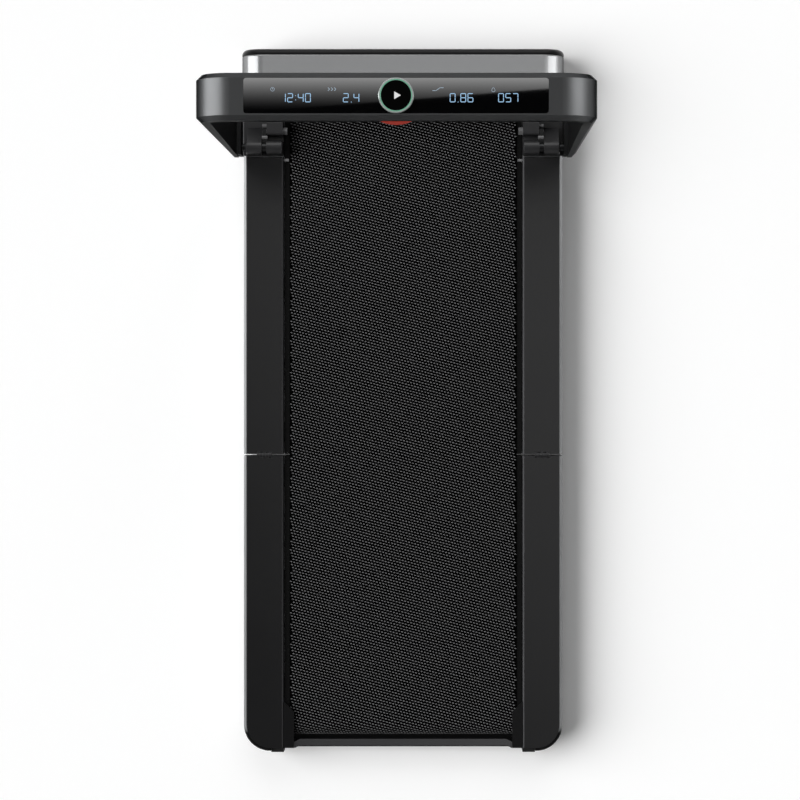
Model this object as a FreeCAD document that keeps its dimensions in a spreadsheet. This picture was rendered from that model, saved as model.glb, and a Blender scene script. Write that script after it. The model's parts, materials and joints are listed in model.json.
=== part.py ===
import FreeCAD, Part
import math
import os
import re
import Sketcher

# Folding walking pad with an upright handrail and a console, in millimetres.
# X points to the user's right, Y to the motor end and Z up; the origin lies on the floor, under the middle.

# Driving dimensions. Each one is a cell of the sheet called Sizes.
SIZES = {
    # Whole machine
    "length_overall": 1450,
    "height_overall": 890,
    "handrail_width": 712,
    "fit_gap": 0.3,
    "running_fit": 0.05,
    "cut_past": 1,
    # Deck section
    "deck_top": 76,
    "foot_height": 13,
    "foot_radius": 16,
    "foot_taper": 3,
    "foot_inset": 40,
    "pan_thick": 3,
    "pan_margin": 1,
    "pan_bead": 3,
    "bead_width": 30,
    "edge_strip": 6,
    "strip_bevel": 4.5,
    "foot_rail_width": 76,
    "foot_rail_thick": 8,
    "foot_rail_bevel": 3,
    "rail_web": 4,
    "rail_flange": 4,
    "rear_corner": 54,
    "strip_overlap": 2,
    "bumper_reach": 3,
    # Fold across the middle of the deck
    "fold_setback": 110,
    "fold_gap": 3.5,
    "fold_lift": 1,
    "fold_hinge_inset": 51,
    "fold_knuckle": 6,
    "fold_knuckle_radius": 4.5,
    "fold_pin_radius": 2,
    "fold_leaf_length": 30,
    "fold_leaf_thick": 4,
    "notch_gap": 1,
    # Walking belt, boards and rollers
    "belt_side_gap": 12,
    "belt_thick": 2,
    "belt_drop": 6,
    "board_thick": 15,
    "board_margin": 10,
    "board_nose": 5,
    "board_roller_gap": 8,
    "cushion_thick": 3,
    "cushion_radius": 14,
    "member_height": 20,
    "member_width": 40,
    "member_wall": 2,
    "member_inset": 45,
    "roller_radius": 20.7,
    "roller_neck": 16,
    "roller_bore": 10,
    "roller_overhang": 4,
    "axle_radius": 6,
    "bearing_radius": 14,
    "bearing_width": 10,
    "front_roller_setback": 113,
    "rear_roller_setback": 58,
    # Motor bay
    "cover_length": 128,
    "cover_overhang": 3,
    "cover_top": 122,
    "cover_wall": 3,
    "cover_round": 45,
    "cover_clear": 2,
    "trim_depth": 13,
    "trim_round": 11,
    "trim_top": 116,
    "base_wall": 3,
    "base_wall_top": 40,
    "cheek_thick": 6,
    "roller_ear": 13,
    "wheel_ear": 9,
    "motor_setback": 50,
    "motor_height": 62,
    "motor_radius": 31,
    "motor_inner": 50,
    "motor_side_gap": 43,
    "motor_bell": 8,
    "motor_foot": 40,
    "motor_shaft": 5,
    "motor_pulley": 10,
    "roller_pulley": 22,
    "pulley_width": 18,
    "pulley_gap": 4,
    "drive_belt_thick": 2,
    "belt_flange": 2,
    "fan_radius": 29,
    "fan_width": 10,
    "fan_gap": 4,
    "board_left": 40,
    "board_plate": 2,
    "control_side_room": 45,
    "control_depth": 56,
    "control_post": 6,
    "control_inset": 6,
    "fin_thick": 3,
    "fin_height": 24,
    "capacitor_radius": 10,
    "wheel_radius": 25,
    "wheel_width": 20,
    "wheel_side_gap": 2.5,
    "wheel_inset": 29,
    "wheel_setback": 47,
    "wheel_lift": 1.5,
    "wheel_axle": 4,
    "wheel_hub": 9,
    "wheel_tyre": 6,
    "wheel_dish": 3,
    # Power inlet and switch in the front trim
    "inlet_inset": 139,
    "inlet_z": 82,
    "inlet_width": 62,
    "inlet_height": 30,
    "inlet_depth": 6,
    "inlet_recess": 1,
    "inlet_border": 5,
    "socket_width": 26,
    "socket_height": 18,
    "socket_depth": 15,
    "socket_pitch": 7,
    "pin_thick": 2,
    "switch_width": 14,
    "switch_height": 20,
    "switch_gap": 1,
    "switch_sink": 5,
    "switch_keel": 4,
    "switch_throw": 1,
    "switch_tilt": 8,
    # Handrail hinge
    "hinge_setback": 202.5,
    "hinge_lift": 30,
    "hinge_clear": 2.5,
    "knuckle_radius": 14.5,
    "pivot_radius": 8,
    "knuckle_bevel": 2,
    "hinge_plate": 6,
    "outer_knuckle": 32,
    "inner_knuckle": 33,
    "hinge_slot": 10,
    "slot_gap": 1,
    "brace_lip": 10,
    "cam_radius": 10,
    "arm_back": 17,
    "arm_ahead": 56,
    "arm_below": 26,
    "arm_above": 44,
    "finger_height": 8,
    "stop_bolt": 4,
    "stop_head": 9,
    "stop_head_radius": 8.5,
    "stop_reach": 34.5,
    "stop_back": 9,
    "stop_depth": 29,
    "stop_round": 5,
    # Handrail posts and console
    "post_depth": 84,
    "post_back": 19,
    "post_low_thick": 17.5,
    "post_high_thick": 25,
    "post_wall": 3,
    "post_bottom": 79,
    "post_bevel": 9,
    "post_toe": 11,
    "post_clear": 2,
    "console_leg": 104,
    "console_thick": 32,
    "console_round": 64,
    "console_inner_round": 30,
    "console_wall": 6,
    "spigot_length": 25,
    "spigot_gap": 0.8,
    "glass_side": 63.5,
    "glass_depth": 62,
    "glass_corner": 5,
    "glass_thick": 3,
    "glass_ledge": 4,
    "display_post": 4,
    "display_post_inset": 20,
    "display_post_y": 20,
    "display_lift": 14,
    "knob_rise": 6,
    "knob_radius": 31,
    "knob_rim": 4.2,
    "knob_web": 1.6,
    "knob_sleeve": 11,
    "knob_post": 8,
    "button_stem": 5,
    "button_travel": 1.2,
    "key_chord": 55,
    "tongue_half": 13.75,
    "tongue_thick": 5,
    "key_bulge": 6,
    "key_height": 10,
    "key_tongue": 5.5,
    "key_lift": 8,
    # Rear end
    "rear_guard_reach": 21,
    "rear_guard_length": 96,
    "guard_wall": 12,
    "guard_gap": 1.5,
    "fork_offset": 20,
    "fork_width": 38,
    "fork_ahead": 26,
    "rear_bar_depth": 13,
    "rear_bar_height": 14,
    "rear_bar_gap": 8,
    "bar_crank": 6,
    "tension_bolt": 3,
    "tension_head": 6,
    "tension_sink": 8,
    "tension_range": 14,
    "tension_offset": 11,
}

# Places that follow from the driving dimensions. Each one is a cell of the sheet called Places.
PLACES = {
    "handrail_half": "handrail_width / 2",
    "leg_inner": "handrail_half - post_high_thick",
    "deck_half": "leg_inner - post_clear",
    "front_end": "length_overall / 2",
    "rear_end": "-length_overall / 2 + bumper_reach",
    "fold_y": "-fold_setback",
    "front_start": "fold_y + fold_gap / 2",
    "rear_start": "fold_y - fold_gap / 2",
    "fold_z": "deck_top + fold_lift",
    "pan_top": "foot_height + pan_thick",
    "seat_z": "deck_top - foot_rail_thick",
    "rail_outer": "deck_half - edge_strip",
    "rail_inner": "rail_outer - foot_rail_width",
    "fold_hinge_inner": "rail_outer - fold_hinge_inset",
    "fold_hinge_outer": "fold_hinge_inner + 5 * fold_knuckle",
    "web_inner": "deck_half - rail_web",
    "corner_y": "rear_end + rear_corner",
    "strip_end": "deck_half - rear_corner - strip_overlap",
    "cap_rear": "rear_end + edge_strip + fit_gap",
    "cap_corner": "rear_corner - edge_strip - fit_gap",
    "belt_half": "rail_inner - belt_side_gap",
    "belt_top": "deck_top - belt_drop",
    "belt_inner": "roller_radius + fit_gap",
    "belt_outer": "belt_inner + belt_thick",
    "roller_z": "belt_top - belt_outer",
    "roller_half": "belt_half + roller_overhang",
    "front_roller_y": "front_end - front_roller_setback",
    "rear_roller_y": "-length_overall / 2 + rear_roller_setback",
    "board_top": "belt_top - belt_thick - fit_gap",
    "board_bottom": "board_top - board_thick",
    "board_front": "front_roller_y - roller_radius - board_roller_gap",
    "board_rear": "rear_roller_y + roller_radius + board_roller_gap",
    "member_top": "board_bottom - cushion_thick",
    "cover_half": "deck_half + cover_overhang",
    "cover_inner": "cover_half - cover_wall",
    "cover_rear": "front_end - cover_length",
    "trim_rear": "front_end - trim_depth",
    "mouth_top": "deck_top + cover_clear",
    "base_rear": "cover_rear - base_wall",
    "base_front": "trim_rear - cover_wall - fit_gap",
    "wheel_x": "deck_half - wheel_inset",
    "wheel_y": "front_end - wheel_setback",
    "wheel_z": "wheel_radius + wheel_lift",
    "slot_half": "wheel_width / 2 + wheel_side_gap",
    "rail_front": "wheel_y - wheel_radius - base_wall - fit_gap",
    "motor_y": "front_end - motor_setback",
    "pulley_inner": "roller_half + pulley_gap",
    "pulley_outer": "pulley_inner + pulley_width",
    "cheek_inner": "pulley_outer + pulley_gap",
    "cheek_outer": "cheek_inner + cheek_thick",
    "cope_half": "cheek_outer + pulley_gap",
    "motor_length": "pulley_inner - motor_side_gap - motor_inner",
    "motor_offset": "motor_inner + motor_length / 2",
    "control_length": "cheek_inner - control_side_room - board_left",
    "inlet_offset": "deck_half - inlet_inset",
    "socket_x": "inlet_offset - inlet_width / 2 + inlet_border + socket_width / 2",
    "switch_x": "inlet_offset + inlet_width / 2 - inlet_border - switch_width / 2",
    "switch_y": "front_end - switch_sink",
    "switch_back": "switch_y - switch_keel - 2 * switch_gap",
    "hinge_y": "front_end - hinge_setback",
    "hinge_z": "deck_top + hinge_lift",
    "hinge_rear": "hinge_y - knuckle_radius",
    "hinge_front": "base_rear - fit_gap",
    "foot_rail_front": "hinge_rear - hinge_clear",
    "plate_top": "seat_z + hinge_plate",
    "lug_outer": "rail_outer - slot_gap",
    "slot_outer": "lug_outer - outer_knuckle",
    "slot_inner": "slot_outer - hinge_slot",
    "lug_inner": "slot_inner - inner_knuckle",
    "stop_y": "hinge_y + stop_reach",
    "stop_z": "hinge_z - finger_height - fit_gap - stop_bolt",
    "stop_rear": "stop_y - stop_back",
    "stop_front": "stop_rear + stop_depth",
    "post_rear": "hinge_y - post_back",
    "post_front": "post_rear + post_depth",
    "console_top": "height_overall - knob_rise",
    "console_seam": "console_top - console_leg",
    "post_taper": "(post_high_thick - post_low_thick) / (console_seam - post_bottom)",
    "arm_inner": "deck_half + slot_gap",
    "arm_outer": "handrail_half - post_low_thick - post_taper * (hinge_z + arm_above - post_bottom)",
    "console_under": "console_top - console_thick",
    "display_y": "post_front - post_bevel - slot_gap - glass_depth / 2",
    "glass_half": "leg_inner - glass_side",
    "display_post_x": "glass_half - display_post_inset",
    "cavity_half": "glass_half + 2 * console_wall",
    "board_z": "console_under + display_lift",
    "knob_under": "console_top + fit_gap",
    "key_z": "console_under + key_lift",
    "fork_inner": "rail_inner + fork_offset",
    "fork_outer": "fork_inner + fork_width",
    "tension_x": "rail_inner + tension_offset",
    "guard_inner": "rail_inner - fit_gap - rear_guard_reach",
    "bar_front": "rear_roller_y - belt_outer - rear_bar_gap",
    "bar_top": "belt_top",
}

SIDES = {"left": -1, "right": 1}
EAR_ROUND = 0.9
NEAR = 0.01
NAME = re.compile(r"[a-z][a-z_]*")
SHEET_OF = {**{name: "Sizes." for name in SIZES}, **{name: "Places." for name in PLACES}}

doc = FreeCAD.newDocument("walking_pad")
subparts = []


def fill_sheets():
    """Write the driving dimensions as numbers and the places as formulas of them."""
    sizes = doc.addObject("Spreadsheet::Sheet", "Sizes")
    for row, (name, number) in enumerate(SIZES.items(), start=1):
        sizes.set(f"A{row}", name)
        sizes.set(f"B{row}", str(number))
        sizes.setAlias(f"B{row}", name)
    places = doc.addObject("Spreadsheet::Sheet", "Places")
    for row, (name, formula) in enumerate(PLACES.items(), start=1):
        text = NAME.sub(lambda word: ("Sizes." if word[0] in SIZES else "") + word[0], formula)
        places.set(f"A{row}", name)
        places.set(f"B{row}", "=" + text)
        places.setAlias(f"B{row}", name)
    doc.recompute()


def sheet_formula(formula):
    """Put its sheet's name before each size or place in a formula."""
    return NAME.sub(lambda word: SHEET_OF.get(word[0], "") + word[0], str(formula))


def value(formula):
    """Number that a formula of sizes and places has now."""
    return float(doc.Sizes.evalExpression(sheet_formula(formula)))


def bind(item, attribute, formula):
    """Tie one property of an object to the sheets."""
    item.setExpression(attribute, sheet_formula(formula))


def keep(item, label):
    """Name an object as a sub-part that gets a file."""
    item.Label = label
    subparts.append(item)
    return item


# Sketch helpers

PLANES = {"XY": ("XY_Plane", 1), "XZ": ("XZ_Plane", -1), "YZ": ("YZ_Plane", 1)}


def new_sketch(body, plane, offset):
    """Empty sketch on one of the body's own planes, moved along that plane's world axis."""
    role, sign = PLANES[plane]
    sketch = body.newObject("Sketcher::SketchObject", body.Name + "_sketch")
    sketch.AttachmentSupport = [(next(f for f in body.Origin.OriginFeatures if f.Role == role), "")]
    sketch.MapMode = "FlatFace"
    bind(sketch, "AttachmentOffset.Base.z", f"{sign} * ({offset})")
    return sketch


def place_point(sketch, geometry, position, corner):
    """Hold one point of a sketch at two formulas."""
    for kind, formula in zip(("DistanceX", "DistanceY"), corner):
        index = sketch.addConstraint(Sketcher.Constraint(kind, -1, 1, geometry, position, value(formula)))
        bind(sketch, f"Constraints[{index}]", formula)


def rounded_corner(before, corner, after, radius):
    """Tangent points of a rounded corner, its arc, and whether the arc runs along the outline."""
    back = (before - corner).normalize()
    ahead = (after - corner).normalize()
    half = back.getAngle(ahead) / 2
    start = corner + back * (radius / math.tan(half))
    end = corner + ahead * (radius / math.tan(half))
    middle = corner + (back + ahead).normalize() * (radius / math.sin(half))
    left_turn = back.cross(ahead).z < 0
    first, last = (start, end) if left_turn else (end, start)
    angles = [math.atan2(point.y - middle.y, point.x - middle.x) for point in (first, last)]
    circle = Part.Circle(middle, FreeCAD.Vector(0, 0, 1), radius)
    return start, end, Part.ArcOfCircle(circle, angles[0], angles[1]), left_turn


def outline(sketch, corners):
    """Closed outline of straight edges; a corner with a third formula is rounded by that radius."""
    points = [FreeCAD.Vector(value(corner[0]), value(corner[1]), 0) for corner in corners]
    count = len(points)
    starts = list(points)
    ends = list(points)
    arcs = {}
    for i, corner in enumerate(corners):
        if len(corner) == 3:
            neighbours = points[i - 1], points[i], points[(i + 1) % count]
            ends[i], starts[i], arc, forward = rounded_corner(*neighbours, value(corner[2]))
            arcs[i] = sketch.addGeometry(arc), forward
    edges = [sketch.addGeometry(Part.LineSegment(starts[i], ends[(i + 1) % count])) for i in range(count)]
    for i, corner in enumerate(corners):
        before, after = edges[i - 1], edges[i]
        if i not in arcs:
            sketch.addConstraint(Sketcher.Constraint("Coincident", before, 2, after, 1))
            place_point(sketch, after, 1, corner[:2])
            continue
        arc, forward = arcs[i]
        sketch.addConstraint(Sketcher.Constraint("Tangent", before, 2, arc, 1 if forward else 2))
        sketch.addConstraint(Sketcher.Constraint("Tangent", arc, 2 if forward else 1, after, 1))
        index = sketch.addConstraint(Sketcher.Constraint("Radius", arc, value(corner[2])))
        bind(sketch, f"Constraints[{index}]", corner[2])
        mark = sketch.addGeometry(Part.Point(points[i]), True)
        place_point(sketch, mark, 1, corner[:2])
        sketch.addConstraint(Sketcher.Constraint("PointOnObject", mark, 1, before))
        sketch.addConstraint(Sketcher.Constraint("PointOnObject", mark, 1, after))


def circle(sketch, centre, radius):
    """Circle held at two formulas."""
    middle = FreeCAD.Vector(value(centre[0]), value(centre[1]), 0)
    index = sketch.addGeometry(Part.Circle(middle, FreeCAD.Vector(0, 0, 1), value(radius)))
    place_point(sketch, index, 3, centre)
    index = sketch.addConstraint(Sketcher.Constraint("Radius", index, value(radius)))
    bind(sketch, f"Constraints[{index}]", radius)


def draw(sketch, shape):
    """Draw an outline (a list of corners) or a circle (its centre and radius)."""
    if isinstance(shape, list):
        outline(sketch, shape)
    else:
        circle(sketch, *shape)


def rectangle(u_low, u_high, v_low, v_high):
    """Corners of a rectangle."""
    return [(u_low, v_low), (u_high, v_low), (u_high, v_high), (u_low, v_high)]


def rounded(corners, radius):
    """The same corners, each with a radius."""
    return [(u, v, radius) for u, v in corners]


# Solid helpers

def new_body(label):
    """Empty body that becomes a sub-part."""
    return keep(doc.addObject("PartDesign::Body", label), label)


def pad(body, plane, shape, start, end):
    """Add a prism that fills the span from start to end along the plane's world axis."""
    sketch = new_sketch(body, plane, end if plane == "XZ" else start)
    draw(sketch, shape)
    feature = body.newObject("PartDesign::Pad", body.Name + "_pad")
    feature.Profile = sketch
    bind(feature, "Length", f"({end}) - ({start})")
    return feature


def pocket(body, plane, shape, start, end):
    """Cut a prism out of the span from start to end along the plane's world axis."""
    sketch = new_sketch(body, plane, start if plane == "XZ" else end)
    draw(sketch, shape)
    feature = body.newObject("PartDesign::Pocket", body.Name + "_pocket")
    feature.Profile = sketch
    bind(feature, "Length", f"({end}) - ({start})")
    return feature


def revolve(label, plane, corners, place):
    """Body of revolution about world X (corners are x, r) or world Z (corners are r, z), moved to a place."""
    body = new_body(label)
    sketch = new_sketch(body, plane, "0")
    outline(sketch, corners)
    feature = body.newObject("PartDesign::Revolution", label + "_turn")
    feature.Profile = sketch
    feature.ReferenceAxis = (sketch, ["H_Axis" if plane == "XY" else "V_Axis"])
    feature.Angle = 360
    for axis, formula in zip("xyz", place):
        bind(body, f"Placement.Base.{axis}", formula)
    return body


def dress(body, kind, size_name, formula, wanted):
    """Fillet or chamfer the edges that a test picks."""
    doc.recompute()
    base = body.Tip
    names = [f"Edge{i}" for i, edge in enumerate(base.Shape.Edges, start=1) if wanted(edge)]
    feature = body.newObject("PartDesign::" + kind, body.Name + "_edges")
    feature.Base = (base, names)
    bind(feature, size_name, formula)
    return feature


def box(x_low, x_high, y_low, y_high, z_low, z_high):
    """Box between six formulas."""
    item = doc.addObject("Part::Box", "block")
    spans = (("Length", x_low, x_high), ("Width", y_low, y_high), ("Height", z_low, z_high))
    for attribute, low, high in spans:
        bind(item, attribute, f"({high}) - ({low})")
    for axis, formula in zip("xyz", (x_low, y_low, z_low)):
        bind(item, f"Placement.Base.{axis}", formula)
    return item


TURNS = {
    "X": FreeCAD.Rotation(FreeCAD.Vector(0, 1, 0), 90),
    "Y": FreeCAD.Rotation(FreeCAD.Vector(1, 0, 0), -90),
    "Z": FreeCAD.Rotation(),
}


def round_bar(axis, start, radius, length):
    """Cylinder from a start point along a world axis."""
    item = doc.addObject("Part::Cylinder", "round")
    item.Placement = FreeCAD.Placement(FreeCAD.Vector(), TURNS[axis])
    bind(item, "Radius", radius)
    bind(item, "Height", length)
    for letter, formula in zip("xyz", start):
        bind(item, f"Placement.Base.{letter}", formula)
    return item


def hex_head(axis, start, radius, length):
    """Six-sided bolt head from a start point along a world axis."""
    item = doc.addObject("Part::Prism", "hex_head")
    item.Placement = FreeCAD.Placement(FreeCAD.Vector(), TURNS[axis])
    item.Polygon = 6
    bind(item, "Circumradius", radius)
    bind(item, "Height", length)
    for letter, formula in zip("xyz", start):
        bind(item, f"Placement.Base.{letter}", formula)
    return item


def fuse(items):
    """One solid from several that overlap or touch."""
    item = doc.addObject("Part::MultiFuse", "joined")
    item.Shapes = items
    item.Refine = True
    return item


def cut(base, tools):
    """Base without the tools."""
    item = doc.addObject("Part::Cut", "trimmed")
    item.Base = base
    item.Tool = tools[0] if len(tools) == 1 else fuse(tools)
    return item


def group(label, items):
    """Several separate solids as one sub-part."""
    item = doc.addObject("Part::Compound", label)
    item.Links = items
    return keep(item, label)


def mirrored(sign, corners):
    """Corners drawn for the right side, put on the given side."""
    return [(f"{sign} * ({corner[0]})", *corner[1:]) for corner in corners]


def span(sign, inner, outer):
    """Low and high end of a stretch between two distances from the middle, on the given side."""
    if sign > 0:
        return inner, outer
    return f"-({outer})", f"-({inner})"


# Deck: rails, boards, belt and pans

MEMBER_COUNT = 3
HALF_SIGN = {"front": 1, "rear": -1}


def side_rail(half, side):
    """C-section aluminium rail whose lip shows as a bright strip beside the foot rail."""
    sign = SIDES[side]
    body = new_body(f"side_rail_{half}_{side}")
    section = [
        ("deck_half", "pan_top"),
        ("deck_half", "deck_top"),
        ("rail_outer", "deck_top"),
        ("rail_outer", "seat_z"),
        ("rail_inner", "seat_z"),
        ("rail_inner", "seat_z - rail_flange"),
        ("web_inner", "seat_z - rail_flange"),
        ("web_inner", "pan_top + rail_flange"),
        ("rail_inner", "pan_top + rail_flange"),
        ("rail_inner", "pan_top"),
    ]
    top_z, side_x, end_y = value("deck_top"), value("deck_half"), value("rear_end")

    def outer_rim(edge):
        bounds = edge.BoundBox
        at_top = abs(bounds.ZMin - top_z) < NEAR and bounds.ZLength < NEAR
        reach = max(abs(bounds.XMin), abs(bounds.XMax))
        at_side = reach > side_x - NEAR and bounds.YLength > NEAR
        return at_top and (at_side or bounds.YMax < end_y + NEAR)

    if half == "front":
        pad(body, "XZ", mirrored(sign, section), "front_start", "rail_front")
        dress(body, "Chamfer", "Size", "strip_bevel", outer_rim)
        cope = rectangle("rail_inner - cut_past", "cope_half", "hinge_front", "rail_front + cut_past")
        pocket(body, "XY", mirrored(sign, cope), "pan_top - cut_past", "deck_top + cut_past")
        lip = rectangle("rail_outer - cut_past", "deck_half + cut_past",
                        "hinge_rear - fit_gap", "rail_front + cut_past")
        pocket(body, "XY", mirrored(sign, lip), "seat_z", "deck_top + cut_past")
        return
    pad(body, "XZ", mirrored(sign, section), "corner_y", "rear_start")
    strip = [
        ("deck_half", "corner_y + strip_overlap"),
        ("deck_half", "rear_end", "rear_corner"),
        ("strip_end", "rear_end"),
        ("strip_end", "rear_end + edge_strip"),
        ("rail_outer", "rear_end + edge_strip", "rear_corner - edge_strip"),
        ("rail_outer", "corner_y + strip_overlap"),
    ]
    pad(body, "XY", mirrored(sign, strip), "pan_top", "deck_top")
    dress(body, "Chamfer", "Size", "strip_bevel", outer_rim)


def foot_rail(half, side):
    """Black moulded step beside the belt, hollowed for the fold hinge and bevelled at the belt."""
    sign = SIDES[side]
    way = HALF_SIGN[half]
    fold_end = f"{half}_start"
    notch = f"{fold_end} + {way} * (fold_knuckle_radius + fit_gap)"
    leaf_end = f"{fold_end} + {way} * (fold_leaf_length + fit_gap)"
    outer = "rail_outer - fit_gap"
    far_end = {"front": "foot_rail_front", "rear": "cap_rear"}[half]
    far_corner = (outer, far_end) if half == "front" else (outer, far_end, "cap_corner")
    body = new_body(f"foot_rail_{half}_{side}")
    plan = [
        ("rail_inner", fold_end),
        ("fold_hinge_inner - notch_gap", fold_end),
        ("fold_hinge_inner - notch_gap", notch),
        ("fold_hinge_outer + notch_gap", notch),
        ("fold_hinge_outer + notch_gap", fold_end),
        (outer, fold_end),
        far_corner,
        ("rail_inner", far_end),
    ]
    pad(body, "XY", mirrored(sign, plan), "seat_z", "deck_top")
    leaf_room = rectangle("fold_hinge_inner - notch_gap", "fold_hinge_outer + notch_gap",
                          fold_end, leaf_end)
    pocket(body, "XY", mirrored(sign, leaf_room), "seat_z", "seat_z + fold_leaf_thick + fit_gap")
    inner_x = sign * value("rail_inner")
    top_z = value("deck_top")

    def belt_side(edge):
        bounds = edge.BoundBox
        return bounds.YLength > NEAR and abs(bounds.XMin - inner_x) + abs(bounds.XMax - inner_x) < NEAR \
            and abs(bounds.ZMin - top_z) < NEAR

    dress(body, "Chamfer", "Size", "foot_rail_bevel", belt_side)


def running_board(half):
    """Flat board under the walking belt, rounded where the belt comes off the roller."""
    body = new_body(f"running_board_{half}")
    profile = [
        (f"{half}_start", "board_bottom"),
        (f"board_{half}", "board_bottom"),
        (f"board_{half}", "board_top", "board_nose"),
        (f"{half}_start", "board_top"),
    ]
    pad(body, "YZ", profile, "-belt_half - board_margin", "belt_half + board_margin")


def member_y(half, index):
    """Place along the deck of one cross member."""
    way = HALF_SIGN[half]
    first = f"({half}_start + {way} * member_inset)"
    last = f"(board_{half} - {way} * member_inset)"
    return f"({first} + {index} / {MEMBER_COUNT - 1} * ({last} - {first}))"


def cross_members(half):
    """Square tubes between the side rails, inside the belt loop."""
    tubes = []
    for index in range(MEMBER_COUNT):
        middle = member_y(half, index)
        low, high = f"{middle} - member_width / 2", f"{middle} + member_width / 2"
        bottom = "member_top - member_height"
        bar = box("-web_inner", "web_inner", low, high, bottom, "member_top")
        bore = box("-web_inner - cut_past", "web_inner + cut_past",
                   f"{low} + member_wall", f"{high} - member_wall",
                   f"{bottom} + member_wall", "member_top - member_wall")
        tubes.append(cut(bar, [bore]))
    group(f"cross_members_{half}", tubes)


def cushions(half):
    """Rubber discs between the cross members and the running board."""
    discs = []
    for index in range(MEMBER_COUNT):
        for sign in SIDES.values():
            place = f"{sign} * (belt_half - cushion_radius)", member_y(half, index), "member_top"
            discs.append(round_bar("Z", place, "cushion_radius", "cushion_thick"))
    group(f"cushions_{half}", discs)


BEADS = ("-belt_half * 2 / 3", "0", "belt_half * 2 / 3")


def belly_pan(half):
    """Sheet under the deck with lengthwise beads."""
    body = new_body(f"belly_pan_{half}")
    half_wide = "deck_half - pan_margin"
    if half == "front":
        low, high = "front_start", "base_rear - fit_gap"
        plan = rectangle(f"-({half_wide})", half_wide, low, high)
    else:
        low, high = "rear_end + pan_margin", "rear_start"
        plan = [
            (f"-({half_wide})", low, "rear_corner - pan_margin"),
            (half_wide, low, "rear_corner - pan_margin"),
            (half_wide, high),
            (f"-({half_wide})", high),
        ]
    pad(body, "XY", plan, "foot_height", "pan_top")
    for middle in BEADS:
        bead = rectangle(f"{middle} - bead_width / 2", f"{middle} + bead_width / 2",
                         f"{low} + member_inset", f"{high} - member_inset")
        pad(body, "XY", bead, "pan_top - pan_thick / 2", "pan_top + pan_bead")


def walking_belt(half):
    """Half of the walking belt: top run, turn round the roller and bottom run."""
    way = HALF_SIGN[half]
    roller_y = f"{half}_roller_y"
    loops = []
    for radius, extra in (("belt_outer", "0"), ("belt_inner", "1")):
        ends = sorted((f"{half}_start - {way} * {extra}", roller_y), key=value)
        side = f"belt_half + {extra}"
        runs = box(f"-({side})", side, *ends, f"roller_z - {radius}", f"roller_z + {radius}")
        turn = round_bar("X", (f"-({side})", roller_y, "roller_z"), radius, f"2 * ({side})")
        loops.append(fuse([runs, turn]))
    keep(cut(loops[0], [loops[1]]), f"belt_{half}")


def feet(half):
    """Four tapered rubber feet under the belly pan."""
    cones = []
    for index in (0, MEMBER_COUNT - 1):
        for sign in SIDES.values():
            cone = doc.addObject("Part::Cone", "foot")
            bind(cone, "Radius1", "foot_radius - foot_taper")
            bind(cone, "Radius2", "foot_radius")
            bind(cone, "Height", "foot_height")
            bind(cone, "Placement.Base.x", f"{sign} * (deck_half - foot_inset)")
            bind(cone, "Placement.Base.y", member_y(half, index))
            cones.append(cone)
    group(f"feet_{half}", cones)


# Fold hinge of the deck: interleaved knuckles on one pin at each side

KNUCKLES = {"front": (0, 2, 4), "rear": (1, 3)}


def fold_leaf(half, sign):
    """Hinge leaf with its knuckles, which sit between those of the other leaf."""
    way = HALF_SIGN[half]
    start = f"{half}_start"
    plate = box(*span(sign, "fold_hinge_inner", "fold_hinge_outer"),
                *sorted((start, f"{start} + {way} * fold_leaf_length"), key=value),
                "seat_z", "seat_z + fold_leaf_thick")
    pieces = [plate]
    for slot in KNUCKLES[half]:
        inner = f"fold_hinge_inner + {slot} * fold_knuckle + fit_gap / 2"
        outer = f"fold_hinge_inner + {slot + 1} * fold_knuckle - fit_gap / 2"
        low, high = span(sign, inner, outer)
        place = (low, "fold_y", "fold_z")
        pieces.append(round_bar("X", place, "fold_knuckle_radius", "fold_knuckle - fit_gap"))
        riser = sorted((start, f"{start} + {way} * fold_knuckle_radius"), key=value)
        pieces.append(box(low, high, *riser, "seat_z", "fold_z"))
    low, _ = span(sign, "fold_hinge_inner", "fold_hinge_outer")
    bore = round_bar("X", (f"{low} - cut_past", "fold_y", "fold_z"), "fold_pin_radius + running_fit",
                     "fold_hinge_outer - fold_hinge_inner + 2 * cut_past")
    return cut(fuse(pieces), [bore])


def fold_hinges():
    """Leaves of both deck halves; the pins that join them stay with the front leaves."""
    pins = []
    for sign in SIDES.values():
        low, _ = span(sign, "fold_hinge_inner", "fold_hinge_outer")
        pins.append(round_bar("X", (low, "fold_y", "fold_z"), "fold_pin_radius",
                              "fold_hinge_outer - fold_hinge_inner"))
    group("fold_hinge_front", [fold_leaf("front", sign) for sign in SIDES.values()] + pins)
    group("fold_hinge_rear", [fold_leaf("rear", sign) for sign in SIDES.values()])


# Rollers, their bearings and axles

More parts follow.
